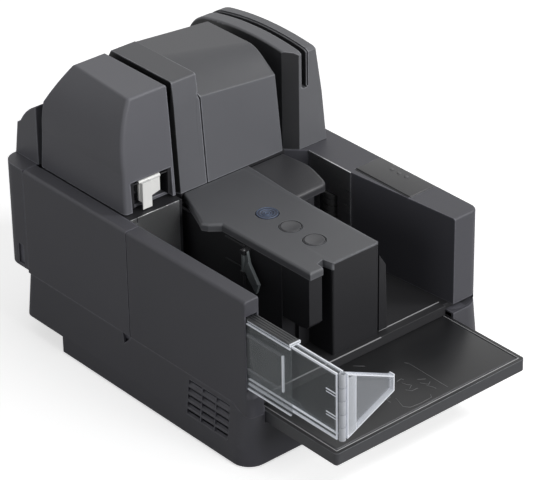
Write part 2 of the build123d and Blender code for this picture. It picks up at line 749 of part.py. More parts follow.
# ---- card reader tower ----
tower_low = wing_top + seam
tower_right = entry_path_right + 37.5
slot_x = entry_path_right + 15.0
slot_width = 4.6
slot_mouth = 6.8
mouth_depth = 1.2
slot_bottom = 178.0
slot_skin = 2.0
tower_round = 2.0


def tower_front_face():
    return outline((entry_path_right, tower_low), (tower_right, tower_low), (tower_right - 4.5, 170.0),
                   (tower_right - 13.2, 225.0), (entry_path_right, 225.0))


def tower_side_face():
    rear = tower_pin_y + 6.5
    lines = Polyline((rear - 2, 190.5), (rear, tower_low), (cover_front, tower_low), (cover_front, 207.3),
                     (cover_front + 3, 209.2))
    crown = ThreePointArc((cover_front + 3, 209.2), (106.0, 212.2), (158.0, 207.2))
    back = ThreePointArc((158.0, 207.2), (172.0, 201.6), (rear - 2, 190.5))
    return make_face(Curve() + lines + crown + back)


def tower_solid(inset):
    front_face = tower_front_face()
    side_face = tower_side_face()
    if inset:
        front_face = offset(front_face, amount=-inset, kind=Kind.INTERSECTION)
        side_face = offset(side_face, amount=-inset, kind=Kind.INTERSECTION)
    body = front_prism(front_face, 0, overhang_rear) & side_prism(side_face, 0, case_half)
    x = entry_path_right + lead_in + inset
    y = cover_front
    return body - plan_prism(outline((x, y - 5), (x, y), (x - 20, y + 20), (x - 20, y - 5)), tower_low - 1, 230)


def reader_tower():
    half = slot_width / 2
    walls = block(slot_x - half - slot_skin, slot_x + half + slot_skin, 0, 200, slot_bottom - 2, 240)
    pin_top = tower_pin_low + hinge_pin_length + pin_end_gap
    boss = post(tower_pin_x, tower_pin_y, hinge_pin_radius + wall, tower_low, pin_top + wall)
    body = tower_solid(0)
    rounded = []
    for edge in body.edges():
        middle = edge.center()
        right = middle.X > tower_right - 14.8 and middle.Z > 130 and (middle.Y < 64 or middle.Z > 205)
        if right or (middle.X < entry_path_right + 1 and middle.Z > 205):
            rounded.append(edge)
    body = fillet(rounded, tower_round)
    body = body - (tower_solid(wall) - walls - boss)
    body = body - block(slot_x - half, slot_x + half, 0, 200, slot_bottom, 240)
    mouth = block(slot_x - slot_mouth / 2, slot_x + slot_mouth / 2, 0, 200, slot_bottom + 1, 240)
    body = body - (mouth - tower_solid(mouth_depth))
    body = body - post(tower_pin_x, tower_pin_y, hinge_pin_radius + shaft_gap, tower_low - 1, pin_top)
    x0 = slot_x + half - 0.3
    return body - block(x0, x0 + slot_skin + 0.6, 106 - seat_gap, 116 + seat_gap, 182 - seat_gap, 192 + seat_gap)


def reader_head():
    """Magnetic stripe head beside the card slot."""
    back = slot_x + slot_width / 2 + slot_skin
    nose = block(back - slot_skin - 0.2, back + 0.1, 106, 116, 182, 192)
    return nose + fillet(block(back, back + 5, 104, 118, 180, 194).edges().filter_by(Axis.X), 1.0)


# ---- feeder ----
panel_right_edge = [(box_right + 0.4, -12.0), (box_right + 1.1, 5.0), (box_right + 1.4, 18.0), (box_right + 2.8, 33.0),
                    (box_right + 4.5, cover_front)]
panel_edge = 1.4       # thickness of the panel's rim over the housing's walls
block_round = 1.5      # upright corners of the front block


def panel_face():
    side = pocket_side
    return outline((side + 7.8, cover_front), (side - 0.5, 42.0), (side - 6.5, 27.5), (side - 10.5, 19.5),
                   (side - 8.0, 15.0), (side - 0.1, 8.4), (side + 0.9, box_front), (side + 13.0, box_front), (side + 13.5, box_front + 7), (side + 20.5, box_front + 9),
                   (box_left, box_front), (box_right, box_front), *panel_right_edge)


def button_places():
    return [(button_x, button_first_y - button_pitch * index) for index in range(button_count)]


def feeder_panel():
    body = plan_prism(panel_face(), panel_top - panel_thick, panel_top)
    left_edges = [edge for edge in body.edges().filter_by_position(Axis.Z, panel_top - 0.01, panel_top + 0.01)
                  if edge.center().X < box_left - 9.7 and edge.center().Y < cover_front - 1]
    body = fillet(left_edges, 2.0)
    corners = [edge for edge in body.edges().filter_by(Axis.Z) if edge.center().Y < box_front + 0.1
               and edge.center().X > box_left - 0.1]
    body = fillet(corners, block_round)
    body = body - (housing_shell(panel_top - 20, panel_top - panel_edge) - block(-90, box_left, -90, 90, 0, 200))
    for x, y in button_places():
        body = body - post(x, y, button_radius + seat_gap, panel_top - panel_thick - 1, panel_top + 1)
    return body


def panel_button(x, y):
    body = post(x, y, button_radius, panel_top - 4.5, panel_top + 0.6)
    rim = body.faces().sort_by(Axis.Z)[-1].edges()
    body = fillet(rim, 0.6)
    stem = post(x, y, 2.0, panel_top - panel_thick - 1.4, panel_top - 4.4)
    return body + stem


def key_board():
    body = block(box_left + 3, box_right - 5, button_first_y - 3 * button_pitch + 12, button_first_y + 14,
                 panel_top - panel_thick - 6.0, panel_top - panel_thick - 4.4)
    for x, y in button_places():
        body = body + block(x - 3, x + 3, y - 3, y + 3, panel_top - panel_thick - 4.5,
                            panel_top - panel_thick - 1.4 - button_travel - 0.1)
    return body


def housing_shell(low, top):
    full = outline((pocket_side, cover_front - 0.3), (pocket_side, box_front + 30), (box_left - 9.7, box_front + 30),
                   (box_left - 9.7, box_front + 26), (box_left, box_front + 26), (box_left, box_front),
                   (box_right, box_front), (box_right, cover_front - 0.3))
    body = plan_prism(full, low, top)
    body = fillet(body.edges().filter_by(Axis.Z).group_by(Axis.Y)[0], block_round)
    return body - plan_prism(offset(full, amount=-wall, kind=Kind.INTERSECTION), low - 1, top + 1)


def feeder_housing():
    low = deck_top
    top = panel_top - panel_thick
    body = housing_shell(low, top)
    body = body + (housing_shell(top - 1, panel_top - panel_edge) & block(box_left, 90, -90, 90, 0, 200))
    ear = side_prism(outline((box_front + 1, top), (box_front + 1, 88.0), (box_front + 4, 84.5),
                             (box_front + 10, 83.5), (box_front + 31, 83.5), (box_front + 31, top)),
                     pocket_side + 0.6, box_left - 9.7)
    body = body + ear
    for y in (button_first_y + 8, button_first_y - 3 * button_pitch + 14):
        body = body + block(box_left + 0.5, box_right - 0.5, y, y + 3, top - 9, top - 6.0)
    body = body - block(box_right - wall - 1, box_right + 1, arm_y - arm_half - slide_gap,
                        arm_y + arm_half + slide_gap, arm_low - slide_gap, arm_low + arm_height + slide_gap)
    for z in (104.0, 121.4):
        body = body + block(flap_x - 2.2, pocket_side + 1, flap_y - 2.2, flap_y + 2.2, z, z + 3.4)
    body = body - post(flap_x, flap_y, pin_radius, 104.0 - 1, 124.8 + 1)
    return body


arm_y = -45.0
arm_half = 6.0
arm_low = 82.0
arm_height = 10.0
pusher_travel = 48.0
pusher_rear = -28.0
flap_x = pocket_side - 4.1
flap_y = -20.5
lug_swing = 3.9        # the flap is cut back this far round the housing's lugs


def pusher():
    """Wedge-shaped plate that presses the documents to the feed roller, on a sliding arm."""
    left = box_right + 0.5
    face = outline((left, deck_top + 2.4), (left, 121.0), (left + 7.2, 109.5), (left + 8.8, 63.0),
                   (left + 8.8, deck_top + 2.4))
    plate = front_prism(face, box_front, pusher_rear)
    plate = fillet(plate.edges().filter_by(Axis.Z).group_by(Axis.X)[-1], 1.5)
    plate = plate - block(left - 1, left + 4.6, box_front + wall, pusher_rear - wall, deck_top + 5, 111)
    plate = plate + block(left + 2.0, left + 4.7, arm_y - arm_half - 1, arm_y + arm_half + 1, arm_low - 1,
                          arm_low + arm_height + 1)
    arm = block(box_right - pusher_travel - 8, left + 4.0, arm_y - arm_half, arm_y + arm_half,
                arm_low, arm_low + arm_height)
    return plate + arm


def pocket_flap():
    face = outline((flap_y - 1, 125.2), (flap_y, 108.0), (-34.0, 94.0), (-37.0, 102.5), (-27.0, 116.0),
                   (-24.5, 125.2))
    body = side_prism(face, flap_x - 1.0, flap_x + 1.0)
    body = body - post(flap_x, flap_y, lug_swing, 100, 107.9) - post(flap_x, flap_y, lug_swing, 121.1, 130)
    body = body + post(flap_x, flap_y, 2.1, 107.7, 121.1)
    return body - post(flap_x, flap_y, pin_radius + shaft_gap, 90, 130)


def flap_pin():
    return post(flap_x, flap_y, pin_radius, 104.0, 124.8)


guide_cap = 6.5        # thickness of the guide block's cap at its open front
guide_recess = 14.0    # how far its body stands back under the cap


def guide_block():
    """Rounded block at the hopper's throat: a cap over a body that stands back from its front."""
    top = panel_top - 2
    gap = 0.4
    right = core_right - 0.9
    edge = [(x + gap, y) for x, y in panel_right_edge[1:]]
    lines = Polyline((right, cover_front - 0.3), (edge[-1][0], cover_front - 0.3), edge[-2], edge[-3], edge[-4],
                     (right - 10.4, 6.0))
    curve = Spline((right - 10.4, 6.0), (right - 3.6, 14.6), (right + 0.9, 30.0), (right, cover_front - 0.3), tangents=((1, 0.25), (-0.1, 1)))
    body = plan_prism(make_face(Curve() + lines + curve), top - guide_cap, top)
    upper = body.edges().filter_by_position(Axis.Z, top - 0.01, top + 0.01)
    body = fillet([edge for edge in upper if edge.center().X > box_right + 11 and edge.center().Y < cover_front - 1], 2.5)
    foot = block(box_right + 0.2, right - 1.9, 5.0 + guide_recess, cover_front - 0.3, deck_top, top - guide_cap + 0.1)
    foot = fillet(foot.edges().filter_by(Axis.Z).sort_by(lambda e: e.center().X - e.center().Y)[-1], 12.0)
    body = body + foot
    body = body - plan_prism(panel_face(), panel_top - panel_thick - 0.2, panel_top)
    return body - block(box_right + wall, right - 12.9, 8.0 + guide_recess, cover_front - 4, deck_top - 1, top - wall - 3)


def hopper_guide():
    body = block(wing_inner_rear - sheet, wing_inner_rear, wing_bend_y, funnel_y, deck_top, wing_top)
    return body - block(60, 90, feed_y - 10.5, feed_y + 10.5, feed_low - 1, feed_high + 1)


def pocket_plate():
    """Bright guide sheet on the pocket's back wall."""
    body = block(exit_left, exit_path_left - 3, exit_front - sheet, exit_front, deck_top, case_top + 0.2)
    return body - block(-95, -93.8, exit_front - 5, exit_front + 1, case_top - 4, case_top + 1)


# ---- hopper tray ----
def hopper_tray():
    rear = base_front + tray_hidden
    top = tray_bottom + tray_thick
    body = block(tray_left, tray_right, tray_front, rear, tray_bottom, top)
    corners = body.edges().filter_by(Axis.Z).group_by(Axis.Y)[0]
    body = fillet(corners, 3.0)
    bottom_front = body.edges().filter_by_position(Axis.Z, tray_bottom - 0.01, tray_bottom + 0.01)
    body = chamfer(bottom_front, 1.0)
    field = block(tray_left + tray_rim, tray_right - tray_rim, tray_front + tray_rim, rear + 9, top - 0.6, top + 1)
    body = body - (field - block(tray_left + tray_rim + groove_width, tray_right - tray_rim - groove_width,
                                 tray_front + tray_rim + groove_width, rear + 9, top - 2, top + 2))
    body = body - block(tray_left + wall, tray_right - wall, tray_front + tray_rim, rear - wall,
                        tray_bottom - 1, top - 4.2)
    for index in range(5):
        x = tray_left + (index + 1) * (tray_right - tray_left) / 6
        body = body + block(x - 0.8, x + 0.8, tray_front + 3, rear - 1, tray_bottom + 0.5, top - 4.1)
    return body + tray_figure(top - 0.1)


def tray_figure(z):
    """Raised loading guide: a sheet outline with its turned corner and three arrows."""
    height = figure_height + 0.1
    marks = block(3.0, 4.0, -158.0, -126.0, z, z + height)
    marks = marks + block(4.0, 16.0, -127.0, -126.0, z, z + height)
    marks = marks + block(-24.0, -13.0, -103.0, -102.0, z, z + height)
    for step in range(3):
        y = -152.0 + 10 * step
        arrow = outline((9.0, y), (14.0, y + 5), (19.0, y), (19.0, y + 1.6), (14.0, y + 6.6), (9.0, y + 1.6))
        marks = marks + plan_prism(arrow, z, z + height)
    return marks


# ---- pocket extension ----
rail_front = side_front - rail_out
rail_left = -case_half + thin_wall + slide_gap
rail_right = -case_half + side_width - bay_lip - slide_gap
rib_left = rail_left + rail_web + slide_gap
rib_right = rib_left + plate_rib
plate_low = bay_bottom + slide_gap + rail_web + slide_gap + 0.6
plate_high = plate_low + plate_height
axis_x = (rib_left + rib_right) / 2
axis_y = plate_front - pivot_radius


def extension_rail():
    low = bay_bottom + slide_gap
    high = plate_high + slide_gap + rail_web
    body = block(rail_left, rail_right, rail_front, rail_front + rail_length, low, high)
    body = body - block(rail_left + rail_web, rail_right + 1, rail_front - 1, rail_front + rail_length - rail_web,
                        low + rail_lip, high - rail_lip)
    body = body - block(rail_left + rail_web, rib_right + slide_gap, rail_front - 1,
                        rail_front + rail_length - rail_web, plate_low - slide_gap, high - rail_web)
    window = block(rail_left - 1, rail_left + rail_web + 1, rail_front + 9, rail_front + 50, 84.0, 111.0)
    body = body - fillet(window.edges().filter_by(Axis.X), 2.0)
    for step in range(4):
        x = rail_left + 1.2 + 2.4 * step
        body = body - block(x, x + 1.0, rail_front + 3, rail_front + rail_out - 2, high - 0.5, high + 1)
    return body


def extension_plate():
    rear = plate_front + plate_length
    body = block(axis_x - plate_web / 2, axis_x + plate_web / 2, plate_front, rear, plate_low, plate_high)
    for z in (plate_low, plate_high - 2.6):
        body = body + block(rib_left, rib_right, plate_front, rear, z, z + 2.6)
        body = body - block(axis_x + plate_web / 2 + 0.6, rib_right - 1.0, plate_front + 3, rear - 6, z + 1.0, z + 4)
    body = body + block(rib_left, rib_right, plate_front, plate_front + 2.4, plate_low, plate_high)
    for z in (plate_low + 16.5, plate_low + 35.0):
        body = body + block(axis_x - plate_web / 2 - 1.6, axis_x, plate_front, plate_front + 11, z, z + 2.0)
    for z0, z1 in plate_knuckles():
        arm = block(axis_x - pivot_radius, axis_x + pivot_radius, axis_y, plate_front + 0.5, z0, z1)
        body = body + post(axis_x, axis_y, pivot_radius, z0, z1) + arm
    return body - post(axis_x, axis_y, pin_radius, plate_low - 1, plate_high + 1)


def plate_knuckles():
    third = plate_height / 5
    return [(plate_low, plate_low + third), (plate_low + 2 * third, plate_low + 3 * third),
            (plate_high - third, plate_high)]


def fin_knuckles():
    third = plate_height / 5
    return [(plate_low + third + slide_gap, plate_low + 2 * third - slide_gap),
            (plate_low + 3 * third + slide_gap, plate_high - third - slide_gap)]


def stop_fin():
    """Clear triangular stopper that turns on the front edge of the extension plate."""
    middle = (plate_low + plate_high) / 2
    root = axis_x + pivot_radius + slide_gap
    tip = axis_x + fin_reach
    face = outline((root, middle - fin_root / 2), (tip, middle - fin_tip / 2), (tip, middle + fin_tip / 2),
                   (root, middle + fin_root / 2))
    y0 = axis_y - fin_thick / 2
    body = front_prism(face, y0, y0 + fin_thick)
    rim = front_prism(face, y0 - 1.2, y0 + fin_thick + 1.2)
    inner = outline((root + 8, middle - fin_root / 2 + 5.6), (tip - 1.6, middle - fin_tip / 2 + 1.8),
                    (tip - 1.6, middle + fin_tip / 2 - 1.6), (root + 8, middle + fin_root / 2 - 5.8))
    body = body + (rim - front_prism(inner, y0 - 5, y0 + fin_thick + 5)
                   - front_prism(offset(inner, amount=0.1, kind=Kind.INTERSECTION), y0 - 5, y0 + fin_thick + 5))
    body = body + block(tip - 5, tip - 1, y0 - 1.2, y0 + fin_thick + 1.2, middle + fin_tip / 2 - 1.4,
                        middle + fin_tip / 2 + 1.4)
    for z0, z1 in fin_knuckles():
        arm = block(axis_x, root + 0.5, axis_y - fin_thick / 2, axis_y + fin_thick / 2, z0, z1)
        body = body + post(axis_x, axis_y, pivot_radius, z0, z1) + arm
    return body - post(axis_x, axis_y, pin_radius + shaft_gap, plate_low - 1, plate_high + 1)


def fin_pin():
    return post(axis_x, axis_y, pin_radius, plate_low + 1, plate_high - 1)


# ---- drive ----
def tyres(x, radius, bore):
    body = []
    for low in (tyre_low, tyre_high):
        ring = post(x, roller_y, radius, low, low + tyre_length) - post(x, roller_y, bore, low - 1, low + 30)
        body.append(chamfer(ring.edges().filter_by(GeomType.CIRCLE).filter_by(
            lambda e: abs(e.radius - radius) < 0.01), 0.4))
    return Compound(children=body)


def drive_shaft(x):
    return post(x, roller_y, shaft_radius, belt_low - 3, panel_top - 0.3)


def toothed_pulley(x, y):
    body = post(x, y, pulley_radius, belt_low - 0.3, belt_low + belt_width + 0.3)
    for z in (belt_low - 1.3, belt_low + belt_width + 0.3):
        body = body + post(x, y, pulley_radius + belt_thick + 0.4, z, z + 1)
    return body - post(x, y, shaft_radius, belt_low - 5, belt_low + 15)


def belt_hull(radius):
    rings = []
    for x, y in shaft_places:
        rings += (Pos(x, y) * Circle(radius)).edges()
    return make_hull(rings)


def drive_belt():
    inner = pulley_radius + 0.1
    loop = plan_prism(belt_hull(inner + belt_thick), belt_low, belt_low + belt_width)
    return loop - plan_prism(belt_hull(inner), belt_low - 1, belt_low + belt_width + 1)


def pinch_shaft(x, low, high):
    return post(x, roller_y, shaft_radius, low, high)


def motor():
    low = undercut_height + wall
    body = post(motor_x, motor_y, motor_radius, low, motor_top)
    body = fillet(body.edges().filter_by(GeomType.CIRCLE).sort_by(Axis.Z)[-1], 1.5)
    return body - post(motor_x, motor_y, shaft_radius + shaft_gap, motor_top - 12, motor_top + 1)


def motor_shaft():
    return post(motor_x, motor_y, shaft_radius, motor_top - 11.8, belt_low + belt_width + 3)


def feed_tyre():
    ring = post(feed_x, feed_y, feed_radius, feed_low, feed_high) - post(feed_x, feed_y, shaft_radius, 0, 200)
    grooves = []
    for step in range(4):
        z = feed_low + 4 + step * 5.4
        grooves.append(post(feed_x, feed_y, feed_radius + 1, z, z + 0.8) - post(feed_x, feed_y, feed_radius - 0.6, z, z + 0.8))
    for groove in grooves:
        ring = ring - groove
    return ring


def feed_shaft():
    return post(feed_x, feed_y, shaft_radius, shelf_low + 1.4, shelf_high + wall)


# ---- electronics ----
board_low = 22.0
board_thick = 1.6
board_top = board_low + board_thick
dc_port = (62.0, 9.0, 11.0)
usb_port = (30.0, 12.0, 10.8)


def port_hole(port):
    x, width, height = port
    half = width / 2 + seat_gap
    return block(x - half, x + half, base_rear - wall - 1, base_rear + 1, board_top - seat_gap,
                 board_top + height + seat_gap)


def port_body(port):
    x, width, height = port
    return block(x - width / 2, x + width / 2, base_rear - 14, base_rear - 0.4, board_top, board_top + height)


def dc_inlet():
    x, width, height = dc_port
    z = board_top + height / 2
    body = port_body(dc_port) - long_rod(x, base_rear - 10, base_rear + 2, z, 3.2)
    return body + long_rod(x, base_rear - 12, base_rear - 1.5, z, 1.0)


def usb_socket():
    x, width, height = usb_port
    z = board_top + height / 2
    body = port_body(usb_port) - block(x - 4.2, x + 4.2, base_rear - 9, base_rear + 2, z - 3.9, z + 3.9)
    return body + block(x - 2.6, x + 2.6, base_rear - 11, base_rear - 2, z - 1.6, z + 1.6)


def control_board():
    body = block(-60, 90, 40, base_rear - wall - 2, board_low, board_low + board_thick)
    body = body - post(motor_x, motor_y, motor_radius + 2, 0, 60)
    for x, y in ((-54, 46), (84, 46), (-54, base_rear - 9), (84, base_rear - 9)):
        low = undercut_height + wall if y > undercut_front else foot_height + wall
        body = body + post(x, y, 3.0, low, board_low + 0.1)
    for x, y, size in ((-30, 66, 22), (20, 66, 14), (50, 90, 12)):
        body = body + block(x - size / 2, x + size / 2, y - size / 2, y + size / 2, board_low + board_thick - 0.1,
                            board_low + board_thick + 2)
    return body


# ---- every node ----
nodes = {
    "lower_case": lower_case(),
    "rubber_feet": rubber_feet(),
    "main_deck": main_deck(),
    "case_screws": case_screws(),
    "pocket_wall": pocket_wall(),
    "side_case": side_case(),
    "rear_case": rear_case(),
    "wing_case": wing_case(),
    "wing_lid": wing_lid(),
    "wing_lid_pin": wing_lid_pin(),
    "exit_core": exit_core(),
    "pocket_guide_plate": pocket_plate(),
    "hinge_pins": hinge_pins(),
    "exit_cover": exit_cover(),
    "imprint_carriage": imprint_carriage(),
    "ink_cartridge": ink_cartridge(),
    "imprint_lever": imprint_lever(),
    "centre_cover": centre_cover(),
    "transport_core": transport_core(),
    "rear_guide": rear_guide(),
    "rear_cover": rear_cover(),
    "reader_tower": reader_tower(),
    "reader_head": reader_head(),
    "feeder_housing": feeder_housing(),
    "feeder_panel": feeder_panel(),
    "key_board": key_board(),
    "pusher": pusher(),
    "pocket_flap": pocket_flap(),
    "flap_pin": flap_pin(),
    "guide_block": guide_block(),
    "hopper_guide_plate": hopper_guide(),
    "hopper_tray": hopper_tray(),
    "extension_rail": extension_rail(),
    "extension_plate": extension_plate(),
    "stop_fin": stop_fin(),
    "fin_pin": fin_pin(),
    "left_drive_tyres": tyres(left_drive_x, drive_radius, shaft_radius),
    "left_drive_shaft": drive_shaft(left_drive_x),
    "left_pulley": toothed_pulley(left_drive_x, roller_y),
    "right_drive_tyres": tyres(right_drive_x, drive_radius, shaft_radius),
    "right_drive_shaft": drive_shaft(right_drive_x),
    "right_pulley": toothed_pulley(right_drive_x, roller_y),
    "exit_pinch_tyres": tyres(pinch_x, pinch_radius, shaft_radius),
    "exit_pinch_shaft": pinch_shaft(pinch_x, base_top + 1.8, case_top - 1.6),
    "entry_pinch_tyres": tyres(entry_pinch_x, pinch_radius, shaft_radius),
    "entry_pinch_shaft": pinch_shaft(entry_pinch_x, shelf_low + 1.4, shelf_high + wall),
    "drive_belt": drive_belt(),
    "motor": motor(),
    "motor_shaft": motor_shaft(),
    "motor_pulley": toothed_pulley(motor_x, motor_y),
    "feed_tyre": feed_tyre(),
    "feed_shaft": feed_shaft(),
    "magnetic_head": magnetic_head(),
    "image_sensors": image_sensors(),
    "control_board": control_board(),
    "dc_inlet": dc_inlet(),
    "usb_socket": usb_socket(),
}
button_names = ["start_button", "mode_button", "stop_button"]
for name, (x, y) in zip(button_names, button_places()):
    nodes[name] = panel_button(x, y)

for name, shape in nodes.items():
    export_step(shape, f"parts/{name}.step")
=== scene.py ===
import json
import math
import bpy
from mathutils import Matrix, Vector


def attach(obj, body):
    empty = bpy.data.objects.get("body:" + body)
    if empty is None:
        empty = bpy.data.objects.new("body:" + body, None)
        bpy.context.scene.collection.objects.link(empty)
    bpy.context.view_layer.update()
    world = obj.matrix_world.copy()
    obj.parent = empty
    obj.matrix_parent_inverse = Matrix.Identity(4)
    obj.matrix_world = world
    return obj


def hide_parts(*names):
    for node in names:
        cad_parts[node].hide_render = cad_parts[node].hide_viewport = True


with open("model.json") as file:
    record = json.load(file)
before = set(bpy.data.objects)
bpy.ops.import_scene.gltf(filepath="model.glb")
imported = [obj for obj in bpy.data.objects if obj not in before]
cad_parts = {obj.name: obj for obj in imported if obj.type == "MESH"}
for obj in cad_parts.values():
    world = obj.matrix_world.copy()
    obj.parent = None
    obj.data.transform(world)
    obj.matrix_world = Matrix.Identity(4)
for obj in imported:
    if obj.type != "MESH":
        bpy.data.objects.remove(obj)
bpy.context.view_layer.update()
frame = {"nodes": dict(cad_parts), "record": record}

cadNodes = frame["nodes"]
mm = 0.001
print("frame loaded:", len(cadNodes), "nodes")


# camera, set by the straight edges of the machine in the photograph: angles in degrees, lens in mm
cameraView = {
    "azimuth": -40.405,
    "elevation": 30.217,
    "roll": -0.925,
    "distance": 2.3109,
    "target": (0.1096, 0.1412, 0.0),
    "lens": 191.47,
    "sensor": 36.0,
    "clipEnd": 50.0,
}


def makeCamera(view):
    azimuth = math.radians(view["azimuth"])
    elevation = math.radians(view["elevation"])
    roll = math.radians(view["roll"])
    back = Vector((math.sin(azimuth) * math.cos(elevation), -math.cos(azimuth) * math.cos(elevation),
                   math.sin(elevation)))
    right = Vector((math.cos(azimuth), math.sin(azimuth), 0.0))
    up = back.cross(right)
    turnedRight = math.cos(roll) * right + math.sin(roll) * up
    turnedUp = math.cos(roll) * up - math.sin(roll) * right
    place = Vector(view["target"]) + back * view["distance"]
    camera = bpy.data.objects.new("camera", bpy.data.cameras.new("camera"))
    bpy.context.scene.collection.objects.link(camera)
    camera.data.lens = view["lens"]
    camera.data.sensor_width = view["sensor"]
    camera.data.clip_end = view["clipEnd"]
    camera.matrix_world = Matrix((
        (turnedRight.x, turnedUp.x, back.x, place.x),
        (turnedRight.y, turnedUp.y, back.y, place.y),
        (turnedRight.z, turnedUp.z, back.z, place.z),
        (0.0, 0.0, 0.0, 1.0)))
    bpy.context.scene.camera = camera


makeCamera(cameraView)
print("camera placed")


# node helpers; a value is a number to set or a socket to link
def feed(tree, socket, value):
    if isinstance(value, bpy.types.NodeSocket):
        tree.links.new(value, socket)
    else:
        socket.default_value = value


def addNode(tree, kind, **settings):
    node = tree.nodes.new(kind)
    for key, value in settings.items():
        setattr(node, key, value)
    return node


def mathNode(tree, operation, *values):
    node = addNode(tree, "ShaderNodeMath", operation=operation)
    for socket, value in zip(node.inputs, values):
        feed(tree, socket, value)
    return node.outputs[0]


def noiseNode(tree, place, **values):
    node = addNode(tree, "ShaderNodeTexNoise")
    feed(tree, node.inputs["Vector"], place)
    for label, value in values.items():
        feed(tree, node.inputs[label], value)
    return node.outputs[0]


def rampNode(tree, value, start=0.0, full=1.0, lowest=0.0):
    node = addNode(tree, "ShaderNodeMapRange")
    feed(tree, node.inputs["Value"], value)
    node.inputs["From Min"].default_value = start
    node.inputs["From Max"].default_value = full
    node.inputs["To Min"].default_value = lowest
    return node.outputs[0]


def objectPlace(tree):
    return addNode(tree, "ShaderNodeTexCoord").outputs["Object"]


# effects that several finishes share, each a node group that puts out masks, values and normals
def newGroup(name, inputs, outputs):
    group = bpy.data.node_groups.new(name, "ShaderNodeTree")
    for label, kind, value in inputs:
        group.interface.new_socket(name=label, in_out="INPUT", socket_type=kind).default_value = value
    for label, kind in outputs:
        group.interface.new_socket(name=label, in_out="OUTPUT", socket_type=kind)
    return group, group.nodes.new("NodeGroupInput"), group.nodes.new("NodeGroupOutput")


# grain of a spark eroded mould, and a slow change of tone over the piece
grainValues = {
    "scale": 1800.0, "detail": 3.0, "cellScale": 0.7, "cellHeight": 0.5, "toneScale": 14.0, "toneDetail": 2.0,
}


def grainGroup(values):
    group, entry, result = newGroup("mouldGrain", [("Scale", "NodeSocketFloat", values["scale"])],
                                    [("Height", "NodeSocketFloat"), ("Tone", "NodeSocketFloat")])
    place = objectPlace(group)
    fine = noiseNode(group, place, Scale=entry.outputs["Scale"], Detail=values["detail"])
    cells = addNode(group, "ShaderNodeTexVoronoi", feature="F1")
    feed(group, cells.inputs["Vector"], place)
    cellScale = mathNode(group, "MULTIPLY", entry.outputs["Scale"], values["cellScale"])
    feed(group, cells.inputs["Scale"], cellScale)
    height = mathNode(group, "MULTIPLY_ADD", cells.outputs["Distance"], values["cellHeight"], fine)
    broad = noiseNode(group, place, Scale=values["toneScale"], Detail=values["toneDetail"])
    feed(group, result.inputs["Height"], height)
    feed(group, result.inputs["Tone"], broad)
    return group


# soft normals at the edges, and a mask of the edges that hands rub bright and that are also painted
# bright as a highlight: the places where the piece is thin behind the surface, in patches
edgeValues = {
    "radius": 0.0006, "roundSamples": 6,
    "reach": 0.0006, "thinSamples": 8, "wearAndHighlightStart": 0.90, "wearAndHighlightFull": 0.55, "patchScale": 160.0,
}


def edgeGroup(values):
    group, entry, result = newGroup("softEdge", [("Radius", "NodeSocketFloat", values["radius"]),
                                                 ("Reach", "NodeSocketFloat", values["reach"])],
                                    [("Normal", "NodeSocketVector"), ("EdgeWearAndHighlight", "NodeSocketFloat")])
    bevel = addNode(group, "ShaderNodeBevel", samples=values["roundSamples"])
    feed(group, bevel.inputs["Radius"], entry.outputs["Radius"])
    thin = addNode(group, "ShaderNodeAmbientOcclusion", samples=values["thinSamples"], inside=True,
                   only_local=True)
    feed(group, thin.inputs["Distance"], entry.outputs["Reach"])
    edges = rampNode(group, thin.outputs["AO"], values["wearAndHighlightStart"], values["wearAndHighlightFull"])
    patch = noiseNode(group, objectPlace(group), Scale=values["patchScale"])
    feed(group, result.inputs["Normal"], bevel.outputs[0])
    feed(group, result.inputs["EdgeWearAndHighlight"], mathNode(group, "MULTIPLY", edges, patch))
    return group


# thin dust on what faces up, in soft patches
dustValues = {"upStart": 0.55, "patchScale": 60.0, "patchDetail": 6.0, "patchRoughness": 0.7}


def dustGroup(values):
    group, _, result = newGroup("dustFilm", [], [("Dust", "NodeSocketFloat")])
    surface = addNode(group, "ShaderNodeNewGeometry")
    parts = addNode(group, "ShaderNodeSeparateXYZ")
    feed(group, parts.inputs[0], surface.outputs["Normal"])
    facing = rampNode(group, parts.outputs["Z"], values["upStart"])
    patch = noiseNode(group, objectPlace(group), Scale=values["patchScale"], Detail=values["patchDetail"],
                      Roughness=values["patchRoughness"])
    feed(group, result.inputs["Dust"], mathNode(group, "MULTIPLY", facing, patch))
    return group


# fine parallel lines of rolled or ground metal, drawn out along one axis
brushValues = {"along": (1.0, 60.0, 60.0), "scale": 40.0, "detail": 4.0}


def brushGroup(values):
    group, entry, result = newGroup("brushedLines", [("Along", "NodeSocketVector", values["along"]),
                                                     ("Scale", "NodeSocketFloat", values["scale"])],
                                    [("Height", "NodeSocketFloat")])
    stretch = addNode(group, "ShaderNodeVectorMath", operation="MULTIPLY")
    feed(group, stretch.inputs[0], objectPlace(group))
    feed(group, stretch.inputs[1], entry.outputs["Along"])
    lines = noiseNode(group, stretch.outputs[0], Scale=entry.outputs["Scale"], Detail=values["detail"])
    feed(group, result.inputs["Height"], lines)
    return group


# mask of the faces that look one way, for painted shade, such as a cover's side towards a dark gap
paintedShadeValues = {"direction": (1.0, 0.0, 0.0), "start": 0.70, "full": 0.85}


def paintedShadeGroup(values):
    group, entry, result = newGroup("paintedShadeSide", [("Direction", "NodeSocketVector", values["direction"])],
                                    [("Mask", "NodeSocketFloat")])
    surface = addNode(group, "ShaderNodeNewGeometry")
    toward = addNode(group, "ShaderNodeVectorMath", operation="DOT_PRODUCT")
    feed(group, toward.inputs[0], surface.outputs["Normal"])
    feed(group, toward.inputs[1], entry.outputs["Direction"])
    mask = rampNode(group, toward.outputs["Value"], values["start"], values["full"])
    feed(group, result.inputs["Mask"], mask)
    return group


grain = grainGroup(grainValues)
paintedShadeSide = paintedShadeGroup(paintedShadeValues)
softEdge = edgeGroup(edgeValues)
dustFilm = dustGroup(dustValues)
brushed = brushGroup(brushValues)


def startMaterial(name):
    material = bpy.data.materials.new(name)
    material.use_nodes = True
    tree = material.node_tree
    return material, tree, tree.nodes["Principled BSDF"]


